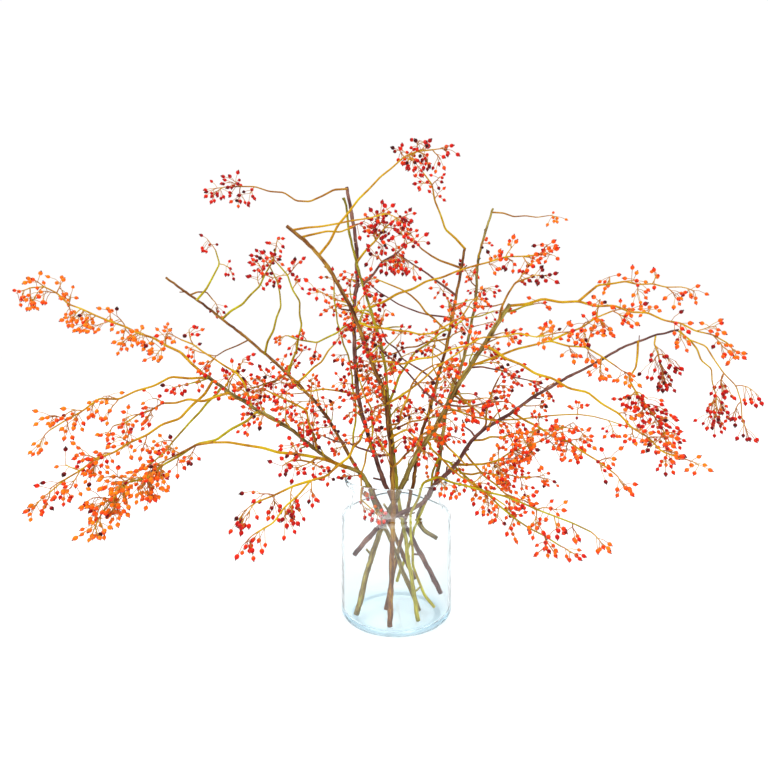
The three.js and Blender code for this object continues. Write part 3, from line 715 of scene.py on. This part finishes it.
def corymb(strands, hips, start, heading, count, ripe, droop, chance):
    """A branchlet and its stalks, with a hip at the end of each stalk."""
    length = (BRANCHLET_LENGTH + BRANCHLET_PER_HIP * count) * chance.uniform(0.8, 1.25)
    line = [start]
    way = heading
    for _ in range(3):
        wander = any_direction(chance) * BRANCHLET_WANDER
        way = (way + wander + DOWN * droop * BRANCHLET_SAG).normalized()
        line.append(line[-1] + way * length / 3)
    strands.append((line, BRANCHLET_RADIUS * 1.3, BRANCHLET_RADIUS, STALK))
    for i in range(count):
        base, along = point_along(line, FIRST_STALK_AT + (1 - FIRST_STALK_AT) * (i + 1) / count)
        for _ in range(TRIES):
            out = along * STALK_FORWARD + any_direction(chance) + DOWN * droop * STALK_SAG
            out = out.normalized()
            reach = chance.uniform(STALK_SHORTEST, STALK_LONGEST) * (0.8 + 0.8 * droop)
            bend = base + out * reach * STALK_TO_BEND
            end_way = out + DOWN * droop * HIP_SAG + any_direction(chance) * HIP_WANDER
            end_way = end_way.normalized()
            end = bend + end_way * reach * BEND_TO_HIP
            middle = end + end_way * HIP_LENGTH / 2
            if is_free(middle):
                keep_clear(middle, HIP_ROOM / 2)
                strands.append(([base, bend, end], STALK_RADIUS, STALK_RADIUS * 1.1, STALK))
                shade = min(max(chance.gauss(ripe, RIPENESS_SPREAD), 0), FULLY_RIPE)
                if chance.random() < OVERRIPE_SHARE + OVERRIPE_WITH_AGE * ripe:
                    shade = chance.uniform(FULLY_RIPE, 1.0)
                hips.append((end, end_way, shade, chance.uniform(*HIP_SIZES)))
                break


def fruit_along(strands, hips, line, count, ripe, droop, first, chance):
    """Clusters at the nodes along the outer part of a twig, and one at its tip."""
    if not count:
        return
    clusters = max(1, round(count / HIPS_PER_CLUSTER))
    share = count / clusters
    last = len(line) - 1
    for i in range(clusters):
        along = first + (1 - first) * (i + 1) / clusters
        node = min(last, round(along * last))
        base = line[node]
        forward = (line[node] - line[node - 1]).normalized()
        if i == clusters - 1:
            heading = forward
        else:
            side = forward.orthogonal().normalized()
            turn = i * GOLDEN_TURN + chance.uniform(-0.5, 0.5)
            side = Matrix.Rotation(turn, 3, forward) @ side
            heading = (forward * BRANCHLET_FORWARD + side).normalized()
        number = max(2, round(share * chance.uniform(0.75, 1.25)))
        corymb(strands, hips, base, heading, number, ripe, droop, chance)


def twig_mesh(name, strands):
    """All the strands of a piece as tapered round twigs in one mesh."""
    curve = bpy.data.curves.new(name, "CURVE")
    curve.dimensions = "3D"
    curve.bevel_depth = SHOOT_BEVEL
    curve.bevel_resolution = 1
    curve.use_fill_caps = True
    for material in FINISHES:
        curve.materials.append(material)
    for line, thick, thin, material_index in strands:
        spline = curve.splines.new("POLY")
        spline.points.add(len(line) - 1)
        spline.material_index = material_index
        for i, (point, place) in enumerate(zip(spline.points, line)):
            point.co = (*place, 1)
            point.radius = (thick + (thin - thick) * i / (len(line) - 1)) / SHOOT_BEVEL
    holder = bpy.data.objects.new(name, curve)
    mesh = bpy.data.meshes.new_from_object(holder)
    bpy.data.objects.remove(holder)
    bpy.data.curves.remove(curve)
    return mesh


def hang_hips(bm, hips):
    """A copy of the hip at each place, sized, turned and ripened on its own."""
    ripeness = bm.verts.layers.float.new("ripeness")
    for place, way, shade, size in hips:
        start = len(bm.verts)
        bm.from_mesh(ONE_HIP)
        bm.verts.ensure_lookup_table()
        added = bm.verts[start:]
        turn = way.to_track_quat("Z", "Y").to_matrix().to_4x4()
        placed = Matrix.Translation(place) @ turn @ Matrix.Scale(size, 4)
        bmesh.ops.transform(bm, matrix=placed, verts=added)
        for vert in added:
            out = (vert.co - place).dot(way) / HIP_LENGTH
            vert[ripeness] = shade + RIPER_TO_TIP * (out - 0.5)


def finished_growth(name, cad_node, strands, fruit):
    """The twigs and hips as one piece that stands for a CAD node."""
    twigs = twig_mesh(name, strands)
    bm = bmesh.new()
    bm.from_mesh(twigs)
    bpy.data.meshes.remove(twigs)
    hang_hips(bm, fruit)
    piece = finished(name, bm, FINISHES)
    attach(piece, "root")
    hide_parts(cad_node)


def grow_shoot(
    name, bark, route, hips, ripe, first, droop=0.3, radii=SHOOT_RADII,
    fork_at=None, fork=None,
):
    """One shoot, its fork, its clusters and its hips, as one piece."""
    chance = random.Random(name)
    strands = []
    fruit = []
    wood = TWIG_KINDS.index(bark)
    line = zigzag(smooth_line(metres(route), INTERNODE), SHOOT_SWAY, chance)
    strands.append((rounded(line), radii[0], radii[1] * SHOOT_TIP, wood))
    share = 0.5 if fork else 1
    fruit_along(strands, fruit, line, round(hips * share), ripe, droop, first, chance)
    if fork:
        start = line[round(fork_at * (len(line) - 1))]
        branch = zigzag(smooth_line([start, *metres(fork)], INTERNODE), SHOOT_SWAY, chance)
        strands.append((rounded(branch), radii[0] * FORK_THICKNESS, radii[1] * SHOOT_TIP, wood))
        fruit_along(strands, fruit, branch, round(hips * share), ripe, droop, FORK_FRUIT_FROM, chance)
    finished_growth(name + "_grown", name, strands, fruit)


grow_shoot("cane_low_right", "green", [
    (1, 46, 24), (20, 20, 90), (28, -8, 128), (38, -10, 150), (45, -12, 172), (58, -12, 215),
    (86, -21, 193), (115, -39, 172), (143, -57, 148), (175, -69, 131), (199, -78, 119),
], hips=76, ripe=0.32, first=0.55, droop=0.4, radii=(0.0024, 0.0010))
grow_shoot("cane_front_right", "green", [
    (50, -17, 16), (36, -17, 38), (26, -17, 55), (21, -17, 92), (20, -27, 110), (17, -36, 128),
    (24, -46, 160), (43, -49, 195), (77, -62, 189), (127, -86, 181), (173, -107, 167),
    (198, -119, 160), (218, -126, 151),
], hips=76, ripe=0.32, first=0.45, droop=0.4, radii=(0.0022, 0.0010))
grow_shoot("branch_low_left", "golden", [
    (-67, -12, 199), (-100, -39, 218), (-146, -69, 230), (-187, -81, 242), (-221, -87, 245),
], hips=0, ripe=0, first=1, droop=0, radii=(0.0026, 0.0018))
grow_shoot("spray_far_left_upper", "golden", [
    (-244, -47, 325), (-285, -41, 358), (-359, -32, 388), (-426, -26, 416), (-464, -20, 440),
    (-483, -17, 436),
], hips=140, ripe=0.12, first=0.18, droop=0.45)
grow_shoot("spray_far_left_middle", "golden", [
    (-239, -45, 321), (-289, -56, 318), (-336, -65, 297), (-366, -71, 294), (-391, -77, 274),
    (-418, -80, 259),
], hips=50, ripe=0.12, first=0.45, droop=0.5)
grow_shoot("spray_far_left_lower", "golden", [
    (-233, -44, 317), (-263, -61, 276), (-299, -76, 257), (-320, -85, 242), (-351, -94, 228),
    (-379, -100, 208), (-403, -103, 190),
], hips=90, ripe=0.25, first=0.45, droop=0.5)
grow_shoot("spray_left_back", "green", [
    (-222, -42, 309), (-249, -17, 286), (-301, 10, 236), (-324, 19, 211), (-370, 31, 180),
], hips=30, ripe=0.12, first=0.5)
grow_shoot("spray_left_hanging", "green", [
    (-178, -32, 278), (-215, -65, 249), (-253, -83, 234), (-282, -98, 212), (-309, -107, 201),
    (-327, -113, 183), (-336, -116, 166),
], hips=160, ripe=0.12, first=0.55, droop=0.6)
grow_shoot("spray_left_inner", "golden", [
    (-213, -39, 301), (-230, -65, 294), (-284, -50, 290), (-329, -35, 273), (-369, -23, 255),
], hips=45, ripe=0.3, first=0.45, droop=0.6)
grow_shoot("spray_low_left_tip", "brown", [
    (-219, -86, 245), (-246, -86, 239), (-277, -83, 221),
], hips=34, ripe=0.35, first=0.2)
grow_shoot("spray_high_left_tip", "green", [
    (-298, 75, 430), (-284, 88, 456), (-273, 97, 479), (-277, 103, 511),
], hips=13, ripe=0.65, first=0.6, droop=0.4)
grow_shoot("spray_high_left_inner", "green", [
    (-258, 70, 402), (-211, 55, 435), (-187, 40, 462), (-168, 28, 496),
], hips=30, ripe=0.52, first=0.45)
grow_shoot("spray_upright_left", "green", [
    (-192, 58, 349), (-179, 49, 382), (-161, 25, 430), (-170, 1, 467),
], hips=9, ripe=0.6, first=0.7, droop=0.2)
grow_shoot("spray_upright_middle", "green", [
    (-157, 52, 320), (-135, 28, 381), (-132, -5, 424), (-153, -32, 468),
], hips=24, ripe=0.6, first=0.7, droop=0.2)
grow_shoot("spray_short_middle", "golden", [
    (-144, 49, 308), (-107, 25, 339), (-82, 7, 367),
], hips=9, ripe=0.5, first=0.4)
grow_shoot("spray_left_red", "brown", [
    (-159, 52, 322), (-175, 28, 311), (-196, 4, 304),
], hips=60, ripe=0.42, first=0.2)
grow_shoot("spray_thin_left", "brown", [
    (-219, 63, 370), (-240, 34, 356), (-249, 19, 348), (-271, 16, 353),
], hips=12, ripe=0.32, first=0.4, droop=0.4, radii=(0.0012, 0.0008))
grow_shoot("spray_arching_left", "golden", [
    (-105, -18, 225), (-118, -56, 284), (-140, -80, 297), (-154, -89, 309),
], hips=20, ripe=0.37, first=0.5)
grow_shoot("spray_low_left_red", "brown", [
    (-98, -37, 217), (-107, -89, 222), (-122, -113, 229),
], hips=25, ripe=0.6, first=0.2)
grow_shoot("spray_front", "golden", [
    (-41, 8, 249), (-57, -63, 228), (-74, -87, 211), (-102, -111, 200), (-127, -135, 174),
    (-150, -150, 156),
], hips=60, ripe=0.56, first=0.55, droop=0.8, radii=(0.0020, 0.0011), fork_at=0.66, fork=[
    (-131, -122, 195), (-157, -128, 184),
])
grow_shoot("spray_top", "golden", [
    (-95, -67, 472), (-57, -61, 530), (-18, -46, 577), (22, -31, 612), (47, -22, 618),
], hips=58, ripe=0.55, first=0.76, droop=0.4)
grow_shoot("spray_top_right", "golden", [
    (103, 80, 508), (70, 59, 537), (51, 41, 590), (40, 26, 605),
], hips=25, ripe=0.45, first=0.6)
grow_shoot("spray_top_left", "brown", [
    (-74, 87, 600), (-102, 80, 593), (-134, 73, 575), (-165, 65, 586), (-199, 58, 591),
    (-221, 53, 594), (-246, 49, 590),
], hips=40, ripe=0.6, first=0.78, droop=0.5, radii=(0.0017, 0.0010))
grow_shoot("spray_upper_left_tip", "golden", [
    (-128, -70, 502), (-91, -82, 504), (-58, -94, 507), (-13, -106, 511),
], hips=12, ripe=0.65, first=0.7, droop=0.2, radii=(0.0015, 0.0009))
grow_shoot("spray_red_back", "golden", [
    (-58, 63, 485), (-30, 42, 513), (-2, 18, 539),
], hips=60, ripe=0.65, first=0.3, droop=0.2)
grow_shoot("spray_red_front", "purple", [
    (-43, -25, 442), (-17, -46, 467), (14, -64, 485),
], hips=55, ripe=0.52, first=0.3, droop=0.4)
grow_shoot("spray_slim_inner", "brown", [
    (97, 74, 478), (50, 47, 491), (25, 23, 509),
], hips=8, ripe=0.4, first=0.5, droop=0.2)
grow_shoot("spray_dark_inner", "purple", [
    (89, 67, 436), (49, 32, 460), (8, -1, 481),
], hips=12, ripe=0.6, first=0.5, droop=0.4)
grow_shoot("spray_yellow", "golden", [
    (-35, -24, 411), (13, -34, 432), (91, -55, 459), (143, -73, 469), (174, -79, 469),
], hips=50, ripe=0.27, first=0.65, droop=0.2, radii=(0.0019, 0.0010))
grow_shoot("spray_thick_tip", "brown", [
    (129, -50, 390), (138, -71, 429), (155, -95, 442),
], hips=16, ripe=0.8, first=0.4)
grow_shoot("spray_right_upper", "golden", [
    (142, -52, 411), (180, -64, 417), (235, -76, 411), (321, -79, 394), (402, -76, 365),
], hips=84, ripe=0.22, first=0.5, droop=0.4, radii=(0.0020, 0.0010), fork_at=0.28, fork=[
    (256, -55, 437), (318, -40, 440), (368, -31, 436),
])
grow_shoot("spray_right_hanging", "golden", [
    (348, -6, 374), (343, -16, 362), (342, -24, 350), (342, -30, 337),
], hips=36, ripe=0.66, first=0.3, droop=1.0, radii=(0.0012, 0.0008))
grow_shoot("spray_far_right", "golden", [
    (378, -6, 382), (400, -4, 366), (413, 8, 349), (439, 20, 322), (448, 30, 295), (455, 36, 274),
], hips=68, ripe=0.62, first=0.82, droop=1.0, radii=(0.0014, 0.0008), fork_at=0.19, fork=[
    (413, -12, 361), (419, -21, 339), (441, -30, 308), (445, -33, 291), (446, -36, 268),
])
grow_shoot("spray_right_big", "golden", [
    (324, -7, 368), (314, -22, 332), (300, -34, 314), (312, -40, 295), (323, -49, 277),
    (330, -61, 256), (333, -70, 235),
], hips=100, ripe=0.46, first=0.4, droop=0.5, radii=(0.0015, 0.0009))
grow_shoot("spray_right_long", "golden", [
    (111, -47, 362), (149, -94, 336), (189, -103, 317), (231, -109, 300), (286, -118, 253),
    (319, -124, 231),
], hips=40, ripe=0.27, first=0.6)
grow_shoot("spray_right_level", "golden", [
    (73, 55, 273), (134, 43, 256), (265, 37, 264), (339, 25, 244),
], hips=22, ripe=0.37, first=0.5, radii=(0.0016, 0.0009))
grow_shoot("spray_right_inner", "golden", [
    (94, -44, 335), (138, -61, 352), (185, -76, 365), (220, -85, 358), (244, -91, 349),
    (258, -97, 335),
], hips=84, ripe=0.2, first=0.45, droop=0.4, fork_at=0.55, fork=[
    (227, -91, 386), (252, -100, 402),
])
grow_shoot("shoot_crossing", "golden", [
    (-31, -58, 341), (14, -76, 341), (66, -91, 355), (103, -103, 369), (179, -124, 372),
], hips=14, ripe=0.17, first=0.8, radii=(0.0016, 0.0009))
grow_shoot("shoot_short", "golden", [
    (-13, -53, 287), (12, -70, 303), (46, -73, 332), (80, -76, 355),
], hips=8, ripe=0.3, first=0.6, droop=0.2, radii=(0.0017, 0.0010))
grow_shoot("shoot_green", "green", [
    (-11, -15, 283), (16, -1, 341), (64, 5, 380), (96, 11, 398), (135, 17, 408),
], hips=10, ripe=0.3, first=0.7, radii=(0.0019, 0.0010))
grow_shoot("spray_purple", "purple", [
    (93, -44, 333), (126, -23, 332), (155, -8, 322), (195, 1, 308),
], hips=22, ripe=0.52, first=0.45, radii=(0.0015, 0.0009))
grow_shoot("spray_right_dense", "golden", [
    (72, -16, 204), (121, -36, 210), (154, -60, 234), (182, -72, 245),
], hips=120, ripe=0.22, first=0.35, radii=(0.0019, 0.0010))
grow_shoot("spray_right_dense_low", "golden", [
    (84, -20, 194), (145, 27, 182), (197, 36, 174),
], hips=50, ripe=0.27, first=0.35, droop=0.4, radii=(0.0017, 0.0010))
grow_shoot("spray_right_behind", "golden", [
    (101, -22, 237), (145, 20, 236), (214, 47, 241), (265, 59, 242),
], hips=50, ripe=0.22, first=0.35, radii=(0.0017, 0.0010))
grow_shoot("spray_right_fan", "golden", [
    (153, -15, 274), (191, -52, 251), (214, -79, 240), (250, -112, 214),
], hips=40, ripe=0.27, first=0.45, droop=0.4, radii=(0.0017, 0.0010))
grow_shoot("spray_slim_side", "golden", [
    (60, 48, 316), (49, 32, 347), (58, 20, 378),
], hips=10, ripe=0.42, first=0.4, radii=(0.0012, 0.0008))
grow_shoot("spray_top_right_tip", "brown", [
    (155, 146, 580), (191, 153, 576), (250, 159, 576),
], hips=8, ripe=0.15, first=0.6, droop=0.2, radii=(0.0015, 0.0009))

# ---------------------------------------------------------------------------------------------
# The thin twigs and the spurs
# The real canes also carry twigs little thicker than a match, which wander across the middle of the
# bunch, and spurs a finger's breadth long that stand straight on the bark. Both are the cane's
# own growth and fruit like the side shoots.
# ---------------------------------------------------------------------------------------------

TWIG_RADII = (0.0016, 0.0010)
TWIG_INTERNODE = INTERNODE * 0.8
TWIG_SWAY = SHOOT_SWAY * 0.7
TWIG_DROOP = 0.4
SPUR_RADII = (0.0011, 0.0008)
SPUR_SHORTEST, SPUR_LONGEST = 0.012, 0.030
SPUR_KINDS = [TWIG_KINDS.index(kind) for kind in ("golden", "golden", "green", "brown")]
SPUR_WANDER = 0.35
SPUR_DROOP = 0.35
SPUR_RIPE_VARIES = 0.15
SPUR_HIPS_VARY = (0.6, 1.4)


def grow_spurs(strands, fruit, line, count, first, last, hips, ripe, chance):
    """Short fruiting twigs all round a cane, between two shares of its length."""
    for i in range(count):
        share = first + (last - first) * (i + chance.uniform(0.1, 0.9)) / count
        start, along = point_along(line, share)
        way = (sideways(along, chance) + along * chance.uniform(0.2, 1.2)).normalized()
        reach = chance.uniform(SPUR_SHORTEST, SPUR_LONGEST)
        middle = start + way * reach * 0.5
        way = (way + any_direction(chance) * SPUR_WANDER).normalized()
        end = middle + way * reach * 0.5
        wood = chance.choice(SPUR_KINDS)
        strands.append(([start, middle, end], *SPUR_RADII, wood))
        number = max(2, round(hips * chance.uniform(*SPUR_HIPS_VARY)))
        ripe_here = ripe + chance.uniform(-SPUR_RIPE_VARIES, SPUR_RIPE_VARIES)
        corymb(strands, fruit, end, way, number, ripe_here, SPUR_DROOP, chance)


def grow_twigs(cane, twigs, spurs, first, last, hips, ripe):
    """The thin twigs and the short fruiting spurs of one cane, as one piece."""
    chance = random.Random(cane + "_twigs")
    strands = []
    fruit = []
    line = cane_lines[cane][0]
    for at, bark, count, ripe_here, first_here, route in twigs:
        start = point_along(line, at)[0]
        twig = zigzag(smooth_line([start, *metres(route)], TWIG_INTERNODE), TWIG_SWAY, chance)
        strands.append((rounded(twig), *TWIG_RADII, TWIG_KINDS.index(bark)))
        fruit_along(strands, fruit, twig, count, ripe_here, TWIG_DROOP, first_here, chance)
    grow_spurs(strands, fruit, line, spurs, first, last, hips, ripe, chance)
    finished_growth(cane + "_twigs", cane, strands, fruit)


grow_twigs("cane_upper_left", [
    (0.725, "golden", 14, 0.32, 0.7, [
        (-30, -65, 384), (10, -57, 379), (24, -51, 376), (47, -43, 377), (73, -35, 393),
        (87, -27, 399), (94, -25, 412),
    ]),
    (0.47, "brown", 14, 0.32, 0.5, [
        (2, -61, 264), (8, -69, 281), (13, -73, 298), (19, -75, 312), (31, -75, 331), (45, -73, 336),
    ]),
    (0.398, "purple", 22, 0.42, 0.4, [
        (-27, -38, 222), (-45, -28, 228), (-59, -22, 232), (-77, -18, 236), (-94, -16, 239),
    ]),
    (0.458, "brown", 8, 0.32, 0.5, [
        (5, -54, 260), (23, -56, 267), (36, -56, 270), (46, -56, 277),
    ]),
    (0.438, "golden", 14, 0.52, 0.4, [
        (0, -62, 252), (7, -70, 259), (18, -76, 254), (26, -80, 247),
    ]),
    (0.367, "brown", 10, 0.42, 0.4, [
        (2, -56, 215), (11, -60, 224), (21, -62, 235), (34, -64, 252), (47, -64, 260),
    ]),
    (0.96, "golden", 8, 0.52, 0.5, [
        (-104, -65, 497), (-88, -61, 504), (-66, -59, 502), (-55, -57, 509),
    ]),
], spurs=19, first=0.36, last=0.78, hips=6, ripe=0.42)
grow_twigs("cane_centre", [
    (0.65, "green", 0, 0.42, 0.6, [
        (-34, 34, 393), (-16, 26, 387), (12, 24, 389),
    ]),
    (0.48, "golden", 12, 0.32, 0.2, [
        (-73, 14, 298), (-99, 10, 302), (-129, 6, 300), (-141, 4, 314),
    ]),
    (0.338, "golden", 20, 0.42, 0.3, [
        (-34, -2, 228), (-31, -8, 255), (-35, -12, 282), (-46, -14, 305), (-51, -14, 326),
    ]),
    (0.65, "green", 26, 0.32, 0.5, [
        (-77, 32, 387), (-93, 28, 374), (-107, 30, 369), (-124, 36, 367), (-142, 44, 373),
        (-156, 48, 376),
    ]),
    (0.365, "golden", 26, 0.52, 0.35, [
        (-42, -14, 207), (-46, -23, 182), (-45, -25, 160), (-35, -28, 150),
    ]),
], spurs=22, first=0.34, last=0.76, hips=6, ripe=0.42)
grow_twigs("cane_green", [], spurs=14, first=0.38, last=0.75, hips=6, ripe=0.37)
grow_twigs("cane_slim_right", [
    (0.79, "purple", 4, 0.42, 0.6, [
        (50, 70, 408), (13, 74, 420), (-18, 76, 437), (-38, 72, 453),
    ]),
    (0.595, "purple", 12, 0.42, 0.4, [
        (48, 42, 317), (34, 35, 329), (15, 27, 338), (0, 23, 356), (-18, 21, 373), (-21, 19, 382),
    ]),
    (0.75, "golden", 6, 0.42, 0.7, [
        (63, 51, 394), (45, 41, 407), (31, 35, 424), (14, 31, 438), (-5, 29, 446), (-23, 29, 454),
    ]),
    (0.73, "brown", 14, 0.42, 0.4, [
        (49, 55, 369), (36, 53, 363), (17, 51, 360), (-16, 51, 346), (-31, 51, 342),
    ]),
], spurs=20, first=0.42, last=0.84, hips=6, ripe=0.34)
grow_twigs("cane_top_right", [
    (0.69, "brown", 0, 0.42, 0.5, [
        (150, 101, 424), (165, 97, 428),
    ]),
], spurs=16, first=0.42, last=0.85, hips=6, ripe=0.4)
grow_twigs("cane_thick", [
    (0.657, "purple", 12, 0.42, 0.5, [
        (47, -42, 293), (31, -42, 307), (20, -40, 321), (9, -38, 332), (-7, -36, 345), (-27, -36, 363),
    ]),
    (0.578, "golden", 0, 0.42, 0.5, [
        (58, -47, 244), (67, -53, 231), (77, -57, 222), (86, -59, 213),
    ]),
    (0.552, "golden", 14, 0.32, 0.6, [
        (44, -44, 230), (61, -50, 215), (74, -54, 202), (92, -56, 190), (116, -56, 174),
        (136, -56, 162),
    ]),
    (0.7, "brown", 12, 0.42, 0.4, [
        (82, -54, 294), (91, -64, 292), (105, -70, 297),
    ]),
    (0.667, "purple", 10, 0.42, 0.5, [
        (95, -35, 282), (115, -33, 288), (138, -31, 289),
    ]),
    (0.715, "golden", 12, 0.22, 0.6, [
        (85, -45, 294), (95, -47, 282), (114, -53, 270), (132, -61, 265),
    ]),
    (0.975, "green", 6, 0.22, 0.5, [
        (158, -42, 409), (177, -36, 415),
    ]),
], spurs=18, first=0.44, last=0.9, hips=6, ripe=0.34)
grow_twigs("cane_high_left", [
    (0.328, "green", 30, 0.42, 0.35, [
        (-61, 34, 222), (-60, 38, 242), (-57, 40, 270), (-63, 42, 306), (-66, 44, 339), (-75, 44, 363),
        (-83, 40, 392), (-86, 38, 410), (-88, 30, 443),
    ]),
    (0.92, "brown", 6, 0.52, 0.7, [
        (-302, 85, 444), (-292, 91, 446), (-280, 95, 434),
    ]),
], spurs=14, first=0.4, last=0.62, hips=6, ripe=0.42)
grow_twigs("cane_left", [
    (0.835, "golden", 20, 0.32, 0.5, [
        (-198, -42, 320), (-226, -44, 340), (-246, -44, 354), (-274, -40, 370),
    ]),
], spurs=20, first=0.52, last=0.99, hips=6, ripe=0.37)
grow_twigs("cane_far_right", [
    (0.417, "purple", 0, 0.42, 0.5, [
        (94, -23, 251), (85, -25, 264),
    ]),
    (0.43, "brown", 16, 0.42, 0.5, [
        (120, -15, 260), (121, -11, 278), (125, -11, 292), (130, -13, 305), (134, -17, 319),
    ]),
    (0.372, "golden", 22, 0.27, 0.5, [
        (106, -10, 201), (125, -9, 181), (145, -15, 166), (160, -19, 158),
    ]),
], spurs=6, first=0.45, last=0.62, hips=5, ripe=0.32)

bpy.data.meshes.remove(ONE_HIP)

# ---------------------------------------------------------------------------------------------
# The studio
# A pale seamless floor, a bright even surround, two soft lamps and a distant one that lights
# the whole floor alike. The camera stands level, above the jar's lip.
# ---------------------------------------------------------------------------------------------

CAMERA_DISTANCE = 0.736
CAMERA_HEIGHT = 0.351
CAMERA_LENS = 25.5
CAMERA_SHIFT_X, CAMERA_SHIFT_Y = -0.016, -0.0397
FLOOR_HALF = 30.0
BUNCH_MIDDLE = (0, 0, 0.3)
SURROUND_GLOW = 0.55
SURROUND_WHITE = 1.02


def make_floor():
    """A wide pale floor."""
    bm = bmesh.new()
    bmesh.ops.create_grid(bm, x_segments=2, y_segments=2, size=FLOOR_HALF)
    material, _, _, shader = new_material("pale_floor")
    shader.inputs["Base Color"].default_value = (0.93, 0.93, 0.935, 1)
    shader.inputs["Roughness"].default_value = 0.6
    return finished("studio_floor", bm, [material])


def soft_lamp(name, place, target, size, power):
    """A large square lamp that points at a target."""
    lamp = bpy.data.lights.new(name, "AREA")
    lamp.shape = "SQUARE"
    lamp.size = size
    lamp.energy = power
    holder = bpy.data.objects.new(name, lamp)
    holder.location = place
    way = Vector(target) - Vector(place)
    holder.rotation_euler = way.to_track_quat("-Z", "Y").to_euler()
    holder.visible_glossy = False
    bpy.context.scene.collection.objects.link(holder)


def soft_sun(way, softness, strength):
    """A distant soft lamp that lights the whole floor evenly."""
    lamp = bpy.data.lights.new("soft_sun", "SUN")
    lamp.angle = math.radians(softness)
    lamp.energy = strength
    holder = bpy.data.objects.new("soft_sun", lamp)
    holder.rotation_euler = Vector(way).to_track_quat("-Z", "Y").to_euler()
    bpy.context.scene.collection.objects.link(holder)


def white_surround():
    """A surround that is white to look at, also through glass, and sheds a softer light."""
    world = bpy.data.worlds.new("white_surround")
    world.use_nodes = True
    nodes, links = world.node_tree.nodes, world.node_tree.links
    rays = nodes.new("ShaderNodeLightPath")
    seen = nodes.new("ShaderNodeMath")
    seen.operation = "LESS_THAN"
    seen.inputs[1].default_value = 0.5
    links.new(rays.outputs["Diffuse Depth"], seen.inputs[0])
    strength = nodes.new("ShaderNodeMapRange")
    strength.inputs["To Min"].default_value = SURROUND_GLOW
    strength.inputs["To Max"].default_value = SURROUND_WHITE
    links.new(seen.outputs["Value"], strength.inputs["Value"])
    links.new(strength.outputs["Result"], nodes["Background"].inputs["Strength"])
    nodes["Background"].inputs["Color"].default_value = (1, 1, 1, 1)
    bpy.context.scene.world = world


make_floor()
soft_lamp("key_lamp", (-1.2, -1.6, 1.9), BUNCH_MIDDLE, size=1.4, power=24)
soft_lamp("fill_lamp", (1.7, -1.0, 1.0), BUNCH_MIDDLE, size=1.6, power=8)
soft_sun((0.10, 0.25, -1), softness=80, strength=2.5)
white_surround()
bpy.context.scene.view_settings.view_transform = "Standard"

camera = bpy.data.cameras.new("studio_camera")
camera.lens = CAMERA_LENS
camera.shift_x = CAMERA_SHIFT_X
camera.shift_y = CAMERA_SHIFT_Y
camera_holder = bpy.data.objects.new("studio_camera", camera)
camera_holder.location = (0, -CAMERA_DISTANCE, CAMERA_HEIGHT)
camera_holder.rotation_euler = (math.radians(90), 0, 0)
bpy.context.scene.collection.objects.link(camera_holder)
bpy.context.scene.camera = camera_holder
